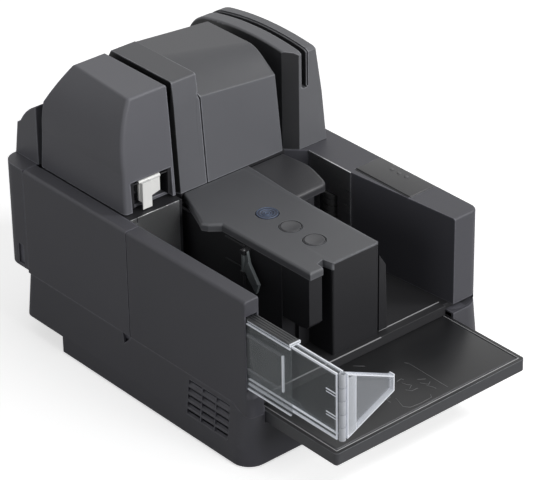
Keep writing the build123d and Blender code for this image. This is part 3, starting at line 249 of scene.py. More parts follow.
def placeGroup(tree, group, **values):
    node = addNode(tree, "ShaderNodeGroup", node_tree=group)
    for key, value in values.items():
        node.inputs[key].default_value = value
    return node


def toned(colour, factor, lift=0.0):
    return tuple(min(1.0, factor * value + lift) for value in colour)


def mixColour(tree, factor, first, second):
    node = addNode(tree, "ShaderNodeMix", data_type="RGBA")
    feed(tree, node.inputs[0], factor)
    for socket, value in ((node.inputs[6], first), (node.inputs[7], second)):
        feed(tree, socket, (*value, 1.0) if isinstance(value, tuple) else value)
    return node.outputs[2]


def bumpNormal(tree, height, base, strength, distance):
    bump = addNode(tree, "ShaderNodeBump")
    bump.inputs["Strength"].default_value = strength
    bump.inputs["Distance"].default_value = distance
    feed(tree, bump.inputs["Height"], height)
    if base is not None:
        feed(tree, bump.inputs["Normal"], base)
    return bump.outputs[0]


# textured plastic: grain, uneven tone, painted shade on faces that look one way, edges bright from
# rubbing and painted as a highlight, and a little dust
plasticValues = {
    "dim": 0.94, "bright": 1.06, "wearAndHighlightTone": 1.5, "wearAndHighlightLift": 0.01,
    "dustColour": (0.42, 0.42, 0.42), "dustRoughness": 1.5,
    "grainRoughness": 0.08, "smoother": 0.06, "grainDepth": 0.00012,
}


def mouldedPlastic(name, finish, values):
    material, tree, shader = startMaterial(name)
    grainNode = placeGroup(tree, grain, Scale=finish["grainScale"])
    edgeNode = placeGroup(tree, softEdge, Radius=finish["edge"], Reach=finish.get("reach", finish["edge"]))
    dustNode = placeGroup(tree, dustFilm)
    colour = finish["colour"]
    tone = mixColour(tree, grainNode.outputs["Tone"], toned(colour, values["dim"]),
                     toned(colour, values["bright"]))
    # painted shade: each listed side is painted in its darker tone
    for direction, shade in finish.get("paintedShades", []):
        paintedShadeNode = placeGroup(tree, paintedShadeSide, Direction=direction)
        tone = mixColour(tree, paintedShadeNode.outputs["Mask"], tone, toned(colour, shade))
    # wear and painted highlight: thin edges are painted brighter, as rubbing and as a highlight
    wearAndHighlightAmount = mathNode(tree, "MULTIPLY", edgeNode.outputs["EdgeWearAndHighlight"], finish["wearAndHighlight"])
    rubbedAndLit = toned(colour, finish.get("wearAndHighlightTone", values["wearAndHighlightTone"]), values["wearAndHighlightLift"])
    tone = mixColour(tree, wearAndHighlightAmount, tone, rubbedAndLit)
    dustAmount = mathNode(tree, "MULTIPLY", dustNode.outputs["Dust"], finish["dust"])
    tone = mixColour(tree, dustAmount, tone, values["dustColour"])
    feed(tree, shader.inputs["Base Color"], tone)
    rough = mathNode(tree, "MULTIPLY_ADD", grainNode.outputs["Height"], values["grainRoughness"],
                     finish["roughness"] - values["smoother"])
    rough = mathNode(tree, "MULTIPLY_ADD", dustAmount, values["dustRoughness"], rough)
    feed(tree, shader.inputs["Roughness"], rough)
    shader.inputs["Specular IOR Level"].default_value = finish["specular"]
    normal = bumpNormal(tree, grainNode.outputs["Height"], edgeNode.outputs["Normal"],
                        finish["grainStrength"], values["grainDepth"])
    feed(tree, shader.inputs["Normal"], normal)
    return material


# ground or rolled metal
metalValues = {
    "dark": 0.8, "lineRoughness": 0.16, "smoother": 0.08, "lineStrength": 0.25, "lineDepth": 0.00005,
}


def brushedMetal(name, finish, values):
    material, tree, shader = startMaterial(name)
    lineNode = placeGroup(tree, brushed, Along=finish["along"], Scale=finish["scale"])
    edgeNode = placeGroup(tree, softEdge, Radius=finish["edge"])
    lines = lineNode.outputs["Height"]
    tone = mixColour(tree, lines, toned(finish["colour"], values["dark"]), finish["colour"])
    feed(tree, shader.inputs["Base Color"], tone)
    rough = mathNode(tree, "MULTIPLY_ADD", lines, values["lineRoughness"],
                     finish["roughness"] - values["smoother"])
    feed(tree, shader.inputs["Roughness"], rough)
    shader.inputs["Metallic"].default_value = 1.0
    normal = bumpNormal(tree, lines, edgeNode.outputs["Normal"], values["lineStrength"], values["lineDepth"])
    feed(tree, shader.inputs["Normal"], normal)
    return material


# clear moulded plastic: see-through face on, brighter where it is seen edge on; the glow is painted
# light, an emission that stands in for the light that clear edges gather
clearValues = {
    "grainRoughness": 0.06, "ior": 1.49, "paintedGlowColour": (0.86, 0.90, 1.0, 1.0), "rimBlend": 0.35, "cloud": 0.1,
    "waveStrength": 0.08, "waveDepth": 0.0004,
}


def clearPlastic(name, finish, values):
    material, tree, shader = startMaterial(name)
    grainNode = placeGroup(tree, grain, Scale=finish["scale"])
    tone = mixColour(tree, grainNode.outputs["Tone"], finish["colour"], finish["tint"])
    feed(tree, shader.inputs["Base Color"], tone)
    rough = mathNode(tree, "MULTIPLY_ADD", grainNode.outputs["Height"], values["grainRoughness"],
                     finish["roughness"])
    feed(tree, shader.inputs["Roughness"], rough)
    shader.inputs["IOR"].default_value = values["ior"]
    shader.inputs["Emission Color"].default_value = values["paintedGlowColour"]
    # painted glow: an emission, though the part is no lamp
    shader.inputs["Emission Strength"].default_value = finish.get("glow", 0.0)
    rim = addNode(tree, "ShaderNodeLayerWeight")
    rim.inputs["Blend"].default_value = values["rimBlend"]
    body = mathNode(tree, "MULTIPLY_ADD", rim.outputs["Facing"], finish["rimBody"], finish["body"])
    cloud = mathNode(tree, "MULTIPLY_ADD", grainNode.outputs["Tone"], values["cloud"], body)
    feed(tree, shader.inputs["Alpha"], cloud)
    normal = bumpNormal(tree, grainNode.outputs["Tone"], None, values["waveStrength"], values["waveDepth"])
    feed(tree, shader.inputs["Normal"], normal)
    return material


# plastics and rubbers; edge and reach in metres, paintedShades as (direction, tone): a darker tone painted as
# shade on the faces that look that way
plasticFinishes = {
    "coverMould": {"colour": (0.105, 0.106, 0.120), "roughness": 0.46, "grainScale": 2600.0,
                   "grainStrength": 0.25, "edge": 0.0008, "wearAndHighlight": 1.0, "wearAndHighlightTone": 3.0, "reach": 0.0015,
                   "dust": 0.04, "specular": 0.5},
    "caseMould": {"colour": (0.062, 0.062, 0.073), "roughness": 0.48, "grainScale": 2600.0,
                  "grainStrength": 0.25, "edge": 0.0007, "wearAndHighlight": 1.0, "wearAndHighlightTone": 3.2, "reach": 0.0015,
                  "dust": 0.04, "specular": 0.45},
    "innerMould": {"colour": (0.013, 0.013, 0.015), "roughness": 0.5, "grainScale": 1500.0,
                   "grainStrength": 0.15, "edge": 0.0005, "wearAndHighlight": 0.6, "wearAndHighlightTone": 4.0, "dust": 0.01,
                   "specular": 0.3},
    # painted shade: the tray's top is painted darker than its sides
    "trayMould": {"colour": (0.040, 0.041, 0.046), "roughness": 0.34, "grainScale": 2200.0,
                  "grainStrength": 0.12, "edge": 0.0006, "wearAndHighlight": 1.0, "wearAndHighlightTone": 5.0, "dust": 0.015,
                  "specular": 0.5, "paintedShades": [((0.0, 0.0, 1.0), 0.22)]},
    "leverMould": {"colour": (0.86, 0.86, 0.84), "roughness": 0.35, "grainScale": 900.0,
                   "grainStrength": 0.05, "edge": 0.0003, "wearAndHighlight": 0.1, "wearAndHighlightTone": 1.1, "dust": 0.01,
                   "specular": 0.5},
    "keyMould": {"colour": (0.066, 0.067, 0.072), "roughness": 0.42, "grainScale": 2600.0,
                 "grainStrength": 0.1, "edge": 0.0003, "wearAndHighlight": 0.9, "wearAndHighlightTone": 2.5, "dust": 0.03,
                 "specular": 0.5},
    "gripMould": {"colour": (0.022, 0.023, 0.026), "roughness": 0.32, "grainScale": 2200.0,
                  "grainStrength": 0.1, "edge": 0.0003, "wearAndHighlight": 0.8, "wearAndHighlightTone": 5.0, "dust": 0.05,
                  "specular": 0.5},
    "litRing": {"colour": (0.13, 0.18, 0.28), "roughness": 0.3, "grainScale": 2600.0, "grainStrength": 0.05,
                "edge": 0.0002, "wearAndHighlight": 0.5, "dust": 0.02, "specular": 0.5},
    "litKeyMould": {"colour": (0.032, 0.038, 0.062), "roughness": 0.35, "grainScale": 2600.0,
                    "grainStrength": 0.1, "edge": 0.0003, "wearAndHighlight": 0.8, "wearAndHighlightTone": 2.0, "dust": 0.03,
                    "specular": 0.5},
    # light grey trim for painted highlight lines
    "trimHighlightMould": {"colour": (0.30, 0.30, 0.31), "roughness": 0.35, "grainScale": 2200.0,
                  "grainStrength": 0.05, "edge": 0.0002, "wearAndHighlight": 0.5, "dust": 0.02, "specular": 0.5},
    "rollerRubber": {"colour": (0.045, 0.045, 0.047), "roughness": 0.75, "grainScale": 1200.0,
                     "grainStrength": 0.4, "edge": 0.0004, "wearAndHighlight": 0.4, "dust": 0.06, "specular": 0.25},
    "footRubber": {"colour": (0.025, 0.025, 0.025), "roughness": 0.85, "grainScale": 900.0,
                   "grainStrength": 0.5, "edge": 0.0004, "wearAndHighlight": 0.3, "dust": 0.08, "specular": 0.2},
    "sensorMould": {"colour": (0.014, 0.014, 0.018), "roughness": 0.2, "grainScale": 800.0,
                    "grainStrength": 0.05, "edge": 0.0003, "wearAndHighlight": 0.2, "dust": 0.03, "specular": 0.5},
    "boardLaminate": {"colour": (0.02, 0.12, 0.05), "roughness": 0.35, "grainScale": 500.0,
                      "grainStrength": 0.2, "edge": 0.0002, "wearAndHighlight": 0.3, "dust": 0.04, "specular": 0.5},
    "motorPaint": {"colour": (0.08, 0.08, 0.09), "roughness": 0.4, "grainScale": 700.0,
                   "grainStrength": 0.2, "edge": 0.0005, "wearAndHighlight": 0.6, "dust": 0.05, "specular": 0.5},
}
# the same plastics where a piece differs: name, base, changed values
finishChanges = [
    # painted shade: the exit cover's side towards the gap is painted near black
    ("exitMould", "coverMould", {"paintedShades": [((1.0, 0.0, 0.0), 0.06)]}),
    # painted shade: the hood's side towards the gap is painted near black, and its top is painted darker than
    # its front
    ("hoodMould", "coverMould", {"colour": (0.118, 0.120, 0.132),
                                 "paintedShades": [((-1.0, 0.0, 0.0), 0.06), ((0.0, -0.3, 0.954), 0.52)]}),
    # painted shade: the tower's faces that look left and to the front, towards the gap, are painted darker
    ("towerMould", "coverMould", {"colour": (0.118, 0.120, 0.130), "reach": 0.001,
                                  "paintedShades": [((-0.862, -0.507, 0.0), 0.22)]}),
    ("panelMould", "coverMould", {"colour": (0.076, 0.078, 0.085), "wearAndHighlightTone": 2.6}),
    ("guideMould", "coverMould", {"colour": (0.033, 0.033, 0.037), "roughness": 0.42, "wearAndHighlightTone": 3.5}),
    ("lidMould", "coverMould", {"colour": (0.042, 0.042, 0.044), "roughness": 0.42, "wearAndHighlightTone": 3.0,
                                "reach": 0.0012}),
    ("tubMould", "caseMould", {"colour": (0.048, 0.048, 0.057)}),
    ("wallMould", "caseMould", {"colour": (0.052, 0.052, 0.062), "reach": 0.0008}),
    ("deckMould", "innerMould", {"colour": (0.022, 0.022, 0.024)}),
    # painted highlight: light grey lines round the tray field
    ("highlightLineMould", "trimHighlightMould", {"colour": (0.42, 0.42, 0.43)}),
    # painted highlight: the raised figure's strokes are lighter than the tray
    ("figureHighlightMould", "trimHighlightMould", {"colour": (0.15, 0.15, 0.155)}),
    ("flapMould", "innerMould", {"colour": (0.14, 0.155, 0.16), "roughness": 0.4, "wearAndHighlightTone": 2.5}),
]
for name, base, changes in finishChanges:
    plasticFinishes[name] = {**plasticFinishes[base], **changes}
metalFinishes = {
    "guideSteel": {"colour": (0.72, 0.73, 0.74), "roughness": 0.3, "along": (60.0, 1.0, 60.0),
                   "scale": 40.0, "edge": 0.0002},
    "pinSteel": {"colour": (0.62, 0.62, 0.63), "roughness": 0.25, "along": (60.0, 60.0, 1.0),
                 "scale": 60.0, "edge": 0.0003},
    "screwSteel": {"colour": (0.4, 0.4, 0.41), "roughness": 0.35, "along": (30.0, 30.0, 30.0),
                   "scale": 60.0, "edge": 0.0002},
    "portPlate": {"colour": (0.5, 0.5, 0.5), "roughness": 0.35, "along": (60.0, 60.0, 2.0),
                  "scale": 60.0, "edge": 0.0002},
}
clearFinishes = {
    "clearMould": {"colour": (0.34, 0.36, 0.38), "tint": (0.22, 0.25, 0.26), "body": 0.08, "rimBody": 0.3,
                   "roughness": 0.06, "scale": 300.0},
    "clearMilk": {"colour": (0.58, 0.60, 0.64), "tint": (0.30, 0.32, 0.35), "body": 0.18, "rimBody": 0.35,
                  "roughness": 0.1, "scale": 400.0},
    "clearHaze": {"colour": (0.52, 0.55, 0.57), "tint": (0.20, 0.22, 0.23), "body": 0.10, "rimBody": 0.3,
                  "roughness": 0.08, "scale": 300.0},
    # painted glow: the joints glow a little
    "clearJoint": {"colour": (0.76, 0.78, 0.82), "tint": (0.52, 0.54, 0.58), "body": 0.46, "rimBody": 0.4,
                   "roughness": 0.1, "scale": 400.0, "glow": 0.06},
    # painted highlight: the ribs are near white and glow, for the light their clear edges gather
    "clearRibGlow": {"colour": (0.88, 0.89, 0.92), "tint": (0.70, 0.72, 0.76), "body": 0.80, "rimBody": 0.2,
                 "roughness": 0.12, "scale": 500.0, "glow": 0.2},
}
materials = {}
for make, finishes, shared in ((mouldedPlastic, plasticFinishes, plasticValues),
                               (brushedMetal, metalFinishes, metalValues),
                               (clearPlastic, clearFinishes, clearValues)):
    for name, finish in finishes.items():
        materials[name] = make(name, finish, shared)

# finish of each material slot, and of the nodes that differ from their slot
slotFinish = {
    "case_plastic": "caseMould", "cover_plastic": "coverMould", "dark_plastic": "innerMould",
    "tray_plastic": "trayMould", "clear_plastic": "clearMould", "white_plastic": "leverMould",
    "key_plastic": "keyMould", "lit_key": "litKeyMould", "roller_rubber": "rollerRubber",
    "foot_rubber": "footRubber", "guide_metal": "guideSteel", "pin_metal": "pinSteel",
    "screw_metal": "screwSteel", "sensor_black": "sensorMould", "board_green": "boardLaminate",
    "port_metal": "portPlate", "motor_metal": "motorPaint",
}
nodeFinish = {
    "stop_fin": "clearMilk", "exit_cover": "exitMould", "centre_cover": "hoodMould",
    "reader_tower": "towerMould", "feeder_panel": "panelMould", "guide_block": "guideMould",
    "wing_lid": "lidMould", "main_deck": "deckMould", "pocket_flap": "flapMould", "lower_case": "tubMould",
    "pocket_wall": "wallMould",
}


def dressNodes():
    for part in frame["record"]["subparts"]:
        node = cadNodes[part["node"]]
        finish = nodeFinish.get(part["node"], slotFinish[part["material_slot"]])
        node.data.materials.clear()
        node.data.materials.append(materials[finish])


dressNodes()
print("finishes made:", len(materials))


# modelling steps for the pieces below, all in mm and degrees; squareOn is how squarely a face has to look
# along an axis to be picked, and near is how far off a picked corner may be
modelling = {"squareOn": 0.9, "near": 0.1, "roundAngle": 35.0, "smoothAngle": 32.0}


def settlePiece(name):
    piece = bpy.context.object
    piece.name = name
    bpy.ops.object.transform_apply(location=True, rotation=True, scale=True)
    return piece


def addBlock(name, centre, size, turn=0.0):
    bpy.ops.object.select_all(action="DESELECT")
    bpy.ops.mesh.primitive_cube_add(size=1.0, location=[value * mm for value in centre],
                                    rotation=(0.0, 0.0, turn), scale=[value * mm for value in size])
    return settlePiece(name)


def startBlock(name, low, high):
    centre = [(first + second) / 2 for first, second in zip(low, high)]
    size = [second - first for first, second in zip(low, high)]
    return addBlock(name, centre, size)


# a bar that stands on its side, from one (x, y) point to the next
def startBar(name, first, second, width, low, high):
    across, along = second[0] - first[0], second[1] - first[1]
    centre = ((first[0] + second[0]) / 2, (first[1] + second[1]) / 2, (low + high) / 2)
    size = (math.hypot(across, along) + width, width, high - low)
    return addBlock(name, centre, size, math.atan2(along, across))


def startPost(name, centre, radius, low, high, sides):
    bpy.ops.object.select_all(action="DESELECT")
    bpy.ops.mesh.primitive_cylinder_add(vertices=sides, radius=radius * mm, depth=(high - low) * mm,
                                        location=(centre[0] * mm, centre[1] * mm, (low + high) / 2 * mm))
    return settlePiece(name)


# opens edit mode with the faces that pass the test selected; the test gets a normal
def pickFaces(piece, test):
    bpy.ops.object.mode_set(mode="EDIT")
    bpy.ops.mesh.select_mode(type="FACE")
    bpy.ops.mesh.select_all(action="DESELECT")
    bpy.ops.object.mode_set(mode="OBJECT")
    for face in piece.data.polygons:
        face.select = test(face.normal)
    bpy.ops.object.mode_set(mode="EDIT")


# the same with points; the test gets a place in mm
def pickPoints(piece, test):
    bpy.ops.object.mode_set(mode="EDIT")
    bpy.ops.mesh.select_mode(type="VERT")
    bpy.ops.mesh.select_all(action="DESELECT")
    bpy.ops.object.mode_set(mode="OBJECT")
    for point in piece.data.vertices:
        point.select = test(point.co / mm)
    bpy.ops.object.mode_set(mode="EDIT")


def leaveEdit():
    bpy.ops.object.mode_set(mode="OBJECT")


def pushFaces(rise):
    bpy.ops.mesh.extrude_region_move(TRANSFORM_OT_translate={"value": (0.0, 0.0, rise * mm)})


def insetFaces(width):
    bpy.ops.mesh.inset(thickness=width * mm, depth=0.0)


# opens a piece from end to end along an axis (0 is x), with a wall of this width left round the hole
def openThrough(piece, axis, wall):
    pickFaces(piece, lambda normal: abs(normal[axis]) > modelling["squareOn"])
    insetFaces(wall)
    bpy.ops.mesh.bridge_edge_loops()
    leaveEdit()


def roundEdges(piece, width, segments=2):
    bevel = piece.modifiers.new("round", "BEVEL")
    bevel.width = width * mm
    bevel.segments = segments
    bevel.limit_method = "ANGLE"
    bevel.angle_limit = math.radians(modelling["roundAngle"])
    bpy.ops.object.modifier_apply(modifier="round")


# a span is (low corner, high corner, rounding), with the rounding's segments after it if they aren't two
def roundedBlock(name, low, high, width, segments=2):
    block = startBlock(name, low, high)
    roundEdges(block, width, segments)
    return block


def roundedBlocks(name, spans):
    return [roundedBlock(name, *span) for span in spans]


def roundedTube(name, centre, radius, low, high, sides, wall, width):
    tube = startPost(name, centre, radius, low, high, sides)
    openThrough(tube, 2, wall)
    roundEdges(tube, width)
    return tube


def joinPieces(pieces, name):
    bpy.ops.object.select_all(action="DESELECT")
    for piece in pieces:
        piece.select_set(True)
    bpy.context.view_layer.objects.active = pieces[0]
    bpy.ops.object.join()
    pieces[0].name = name
    return pieces[0]


def finishPiece(piece, body, slot, material, *replaced):
    bpy.ops.object.select_all(action="DESELECT")
    piece.select_set(True)
    bpy.context.view_layer.objects.active = piece
    bpy.ops.object.shade_smooth_by_angle(angle=math.radians(modelling["smoothAngle"]))
    piece.data.materials.clear()
    piece.data.materials.append(materials[material])
    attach(piece, body)
    if replaced:
        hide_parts(*replaced)


# round keys on the panel: a dished cap with ring grooves, cut as (inset, rise) steps from its rim, and the
# lit rings in the start key's face, as (radius, width, top)
keyShape = {
    "x": -13.0, "firstY": -1.5, "pitch": 25.8, "radius": 8.5, "low": 124.7, "top": 132.5, "sides": 72,
    "edge": 0.14,
    "plainSteps": [(0.3, -1.4), (0.75, 1.32), (0.9, -0.06)],
    "startSteps": [(0.35, -1.2), (0.6, 1.1), (2.2, -0.12), (0.4, -0.2)],
    "rings": [(7.9, 0.35, 132.6), (5.6, 0.3, 132.5), (3.5, 0.3, 132.35), (1.9, 0.5, 132.3)],
    "ringLow": 131.2, "ringSides": 64, "ringEdge": 0.06,
}


def makeKey(shape, row, key, steps, slot, material):
    place = (shape["x"], shape["firstY"] - shape["pitch"] * row)
    cap = startPost(key + "_cap", place, shape["radius"], shape["low"], shape["top"], shape["sides"])
    pickFaces(cap, lambda normal: normal.z > modelling["squareOn"])
    for width, rise in steps:
        insetFaces(width)
        pushFaces(rise)
    leaveEdit()
    roundEdges(cap, shape["edge"])
    finishPiece(cap, key + "_key", slot, material, key + "_button")


def makeStartLight(shape):
    rings = []
    for radius, width, top in shape["rings"]:
        rings.append(roundedTube("ring", (shape["x"], shape["firstY"]), radius, shape["ringLow"], top,
                                 shape["ringSides"], width, shape["ringEdge"]))
    finishPiece(joinPieces(rings, "start_light"), "start_key", "lit_key", "litRing")


makeKey(keyShape, 0, "start", keyShape["startSteps"], "lit_key", "litKeyMould")
makeKey(keyShape, 1, "mode", keyShape["plainSteps"], "key_plastic", "keyMould")
makeKey(keyShape, 2, "stop", keyShape["plainSteps"], "key_plastic", "keyMould")
makeStartLight(keyShape)
print("keys made")

# small pieces of the pocket and the deck: a wider blade on the flap, guide ribs, and the deck's front
# bead strips, light grey as a painted highlight on the deck's front lip
pocketShape = {
    "bladeLow": (-53.3, -37.0, 101.0), "bladeHigh": (-52.3, -20.0, 117.0), "bladeEdge": 0.3,
    "bladeMoves": {(-37.0, 101.0): (-36.9, 103.2), (-37.0, 117.0): (-26.4, 117.6),  # corners as (y, z)
                   (-20.0, 101.0): (-31.0, 100.6), (-20.0, 117.0): (-21.0, 109.0)},
    "ribs": [((-48.5, -17.2, 92.0), (-47.4, -15.0, 125.4), 0.3),
             ((-48.3, -15.0, 123.6), (-47.4, 5.0, 124.6), 0.3),
             ((-48.3, -14.0, 105.4), (-47.4, 5.0, 106.2), 0.3)],
    "highlightBeads": [((-98.0, -91.2, 53.9), (17.6, -90.4, 54.8), 0.25),
              ((21.5, -84.4, 54.5), (82.0, -83.7, 55.3), 0.25)],
}


def makeFlapBlade(shape):
    blade = startBlock("flap_blade", shape["bladeLow"], shape["bladeHigh"])
    near = modelling["near"]
    for (y, z), (newY, newZ) in shape["bladeMoves"].items():
        pickPoints(blade, lambda point: abs(point.y - y) < near and abs(point.z - z) < near)
        bpy.ops.transform.translate(value=(0.0, (newY - y) * mm, (newZ - z) * mm))
        leaveEdit()
    roundEdges(blade, shape["bladeEdge"])
    finishPiece(blade, "flap", "dark_plastic", "flapMould")


def makePocketTrim(shape):
    ribs = joinPieces(roundedBlocks("rib", shape["ribs"]), "pocket_ribs")
    finishPiece(ribs, "casing", "dark_plastic", "deckMould")
    highlightBeads = joinPieces(roundedBlocks("bead", shape["highlightBeads"]), "deck_highlight_bead")
    # painted highlight: light grey strips along the deck's front lip
    finishPiece(highlightBeads, "casing", "dark_plastic", "trimHighlightMould")


makeFlapBlade(pocketShape)
makePocketTrim(pocketShape)

# the tray's field plate, the thin light lines round it as a painted highlight, and the raised loading
# figure as runs of (x, y) points, painted lighter as a highlight
trayShape = {
    "field": ((-94.6, -167.2, 45.4), (79.2, -88.0, 46.64), 0.45, 3),
    "lines": [((-96.45, -169.05, 45.4), (80.95, -168.55, 46.55), 0.12),
              ((-96.45, -168.55, 45.4), (-95.95, -88.0, 46.55), 0.12),
              ((80.45, -168.55, 45.4), (80.95, -88.0, 46.55), 0.12)],
    "strokeWidth": 0.4, "strokeLow": 46.34, "strokeTop": 46.8, "strokeEdge": 0.1,
    "runs": [
        [(15.1, -118.6), (16.6, -120.9), (15.9, -162.0)],
        [(-5.8, -132.8), (-1.4, -132.4), (-1.1, -134.4)],
        [(-4.6, -136.7), (-3.7, -140.1), (-1.6, -143.5), (-5.4, -145.6)],
        [(6.8, -140.9), (11.4, -144.1)],
        [(5.1, -145.4), (8.2, -150.8), (11.2, -149.1)],
        [(6.3, -150.8), (8.1, -155.6), (8.4, -158.1)],
        [(-21.4, -148.0), (-24.9, -159.2), (-21.8, -163.5), (-12.1, -164.6), (-1.9, -164.2), (0.1, -161.2)],
        [(-19.0, -139.7), (-21.8, -140.4), (-23.4, -144.7), (-27.8, -145.4), (-27.8, -149.6)],
        [(-8.9, -145.0), (-6.3, -148.9), (-1.0, -149.1)],
        [(-15.1, -97.0), (-9.6, -102.5)],
    ],
}


def makeTrayField(shape):
    finishPiece(roundedBlock("tray_field", *shape["field"]), "tray", "tray_plastic", "trayMould")
    lines = joinPieces(roundedBlocks("line", shape["lines"]), "tray_highlight_lines")
    # painted highlight: light lines along the field's edges
    finishPiece(lines, "tray", "tray_plastic", "highlightLineMould")


def makeTrayFigure(shape):
    strokes = []
    for run in shape["runs"]:
        for first, second in zip(run, run[1:]):
            strokes.append(startBar("stroke", first, second, shape["strokeWidth"], shape["strokeLow"],
                                    shape["strokeTop"]))
            roundEdges(strokes[-1], shape["strokeEdge"])
    # the strokes are painted lighter than the tray, a highlight on the raised figure
    finishPiece(joinPieces(strokes, "tray_figure"), "tray", "tray_plastic", "figureHighlightMould")


makeTrayField(trayShape)
makeTrayFigure(trayShape)

# ledge that closes the lower case's top at its right front corner: a disc, and a bar towards the mouth
ledgeShape = {
    "centre": (98.4, -82.5), "radius": 12.9, "low": 48.4, "top": 49.85, "sides": 72,
    "barLow": (84.6, -95.4, 48.4), "barHigh": (98.4, -88.0, 49.83),
}


def makeLedge(shape):
    disc = startPost("disc", shape["centre"], shape["radius"], shape["low"], shape["top"], shape["sides"])
    bar = startBlock("bar", shape["barLow"], shape["barHigh"])
    finishPiece(joinPieces([disc, bar], "corner_ledge"), "casing", "case_plastic", "tubMould")


makeLedge(ledgeShape)

# raised top of the small lid with its three finger marks, and beside it a dark strip that is painted
# shade in place of a recess
lidShape = {
    "plate": ((86.3, -47.7, 126.0), (111.0, 11.7, 127.7), 0.6, 3),
    "marks": [(104.8, -23.8), (104.8, -15.8), (104.8, -7.8)], "markRadius": 1.5, "markSides": 24,
    "markLow": 127.2, "markTop": 128.3, "markEdge": 0.4,
    "groove": ((84.4, -47.2, 126.5), (85.9, 11.2, 127.15), 0.2),
}


def makeLidPieces(shape):
    pieces = [roundedBlock("plate", *shape["plate"])]
    for place in shape["marks"]:
        pieces.append(startPost("mark", place, shape["markRadius"], shape["markLow"], shape["markTop"],
                                shape["markSides"]))
        roundEdges(pieces[-1], shape["markEdge"], 3)
    finishPiece(joinPieces(pieces, "lid_plate"), "lid", "case_plastic", "lidMould")
    # painted shade: a near black strip on the casing beside the lid
    finishPiece(roundedBlock("lid_groove", *shape["groove"]), "casing", "case_plastic", "innerMould")


makeLidPieces(lidShape)
print("pocket, deck and tray pieces made")

# clear pocket extension: the rail's dark grip, its open nose, and the ribs and pane of its left face
railShape = {
    "gripLow": (-111.75, -138.7, 124.3), "gripHigh": (-102.65, -39.3, 125.2),
    "ridges": 4, "ridgePitch": 2.3, "firstRidge": ((-111.3, -135.9, 125.0), (-110.15, -40.3, 125.7), 0.3),
    "noseLow": (-111.95, -139.4, 123.3), "noseHigh": (-102.45, -138.3, 125.4), "noseWall": 0.55,
    "ribs": [((-112.0, -131.5, 82.8), (-110.4, -130.0, 112.2), 0.35),
             ((-112.0, -139.1, 67.1), (-110.7, -93.3, 68.2), 0.3),
             ((-112.0, -139.1, 120.6), (-110.7, -93.3, 121.6), 0.3)],
    "bands": [((-111.98, -130.3, 110.4), (-110.4, -93.3, 113.0), 0.5),
              ((-111.98, -130.3, 83.0), (-110.4, -93.3, 84.6), 0.5)],
    "pane": ((-111.7, -130.1, 84.4), (-110.9, -93.3, 110.6), 0.15),
}


def makeGrip(shape):
    pieces = [startBlock("grip", shape["gripLow"], shape["gripHigh"])]
    low, high, width = shape["firstRidge"]
    for step in range(shape["ridges"]):
        x = shape["ridgePitch"] * step
        pieces.append(roundedBlock("ridge", (low[0] + x, *low[1:]), (high[0] + x, *high[1:]), width))
    finishPiece(joinPieces(pieces, "rail_grip"), "rail", "dark_plastic", "gripMould")


def makeRailRibs(shape):
    nose = startBlock("nose", shape["noseLow"], shape["noseHigh"])
    openThrough(nose, 1, shape["noseWall"])
    ribs = joinPieces([nose] + roundedBlocks("rib", shape["ribs"]), "rail_ribs")
    finishPiece(ribs, "rail", "clear_plastic", "clearRibGlow")
    bands = joinPieces(roundedBlocks("band", shape["bands"]), "rail_band")
    finishPiece(bands, "rail", "clear_plastic", "clearMilk")
    finishPiece(roundedBlock("rail_pane", *shape["pane"]), "rail", "clear_plastic", "clearHaze")


makeGrip(railShape)
makeRailRibs(railShape)

# the sliding plate: two top ribs, two foot ribs, the front edge, then the two fingers' ribs; and the
# hinge sleeves of the plate and of the stopper as (low, high)
plateShape = {
    "ribs": [((-110.22, -184.4, 121.5), (-108.95, -92.3, 123.1), 0.2),
             ((-105.25, -184.4, 121.5), (-103.98, -92.3, 123.1), 0.2),
             ((-110.22, -184.4, 69.7), (-109.2, -92.3, 71.6), 0.2),
             ((-110.22, -184.4, 74.2), (-108.5, -92.3, 74.8), 0.2),
             ((-110.22, -184.45, 69.7), (-109.1, -183.4, 123.0), 0.2),
             ((-110.22, -183.8, 87.6), (-109.6, -173.3, 88.4), 0.2),
             ((-110.22, -183.8, 85.4), (-109.6, -173.3, 85.9), 0.2),
             ((-110.22, -183.8, 106.1), (-109.6, -173.3, 106.9), 0.2),
             ((-110.22, -183.8, 103.9), (-109.6, -173.3, 104.4), 0.2)],
    "axis": (-107.1, -186.7), "sleeve": 2.5, "sleeveSides": 32, "sleeveWall": 0.8, "sleeveEdge": 0.2,
    "plateSleeves": [(69.6, 80.2), (91.0, 101.6), (112.4, 123.0)],
    "finSleeves": [(80.6, 90.6), (102.0, 112.0)],
}


def makePlateRibs(shape):
    ribs = joinPieces(roundedBlocks("rib", shape["ribs"]), "plate_ribs")
    finishPiece(ribs, "plate", "clear_plastic", "clearRibGlow")


def makeSleeves(shape, name, body, spans):
    sleeves = []
    for low, high in spans:
        sleeves.append(roundedTube("sleeve", shape["axis"], shape["sleeve"], low, high, shape["sleeveSides"],
                                   shape["sleeveWall"], shape["sleeveEdge"]))
    finishPiece(joinPieces(sleeves, name), body, "clear_plastic", "clearJoint")


makePlateRibs(plateShape)
makeSleeves(plateShape, "plate_knuckles", "plate", plateShape["plateSleeves"])
makeSleeves(plateShape, "fin_knuckles", "fin", plateShape["finSleeves"])

# the stopper: a rim that narrows towards its tip, a rib across it, the hook at its tip, and its root
finShape = {
    "rimLow": (-104.4, -189.0, 70.1), "rimHigh": (-61.1, -184.4, 122.5), "tipHeight": 12.0,
    "rimWall": 0.9, "rimEdge": 0.25,
    "rib": ((-97.0, -188.9, 73.7), (-96.2, -186.8, 118.9), 0.2),
    "hook": ((-62.0, -189.0, 102.0), (-61.1, -184.4, 103.9), 0.25),
    "root": ((-103.8, -188.9, 73.7), (-97.0, -188.3, 118.9), 0.2),
}


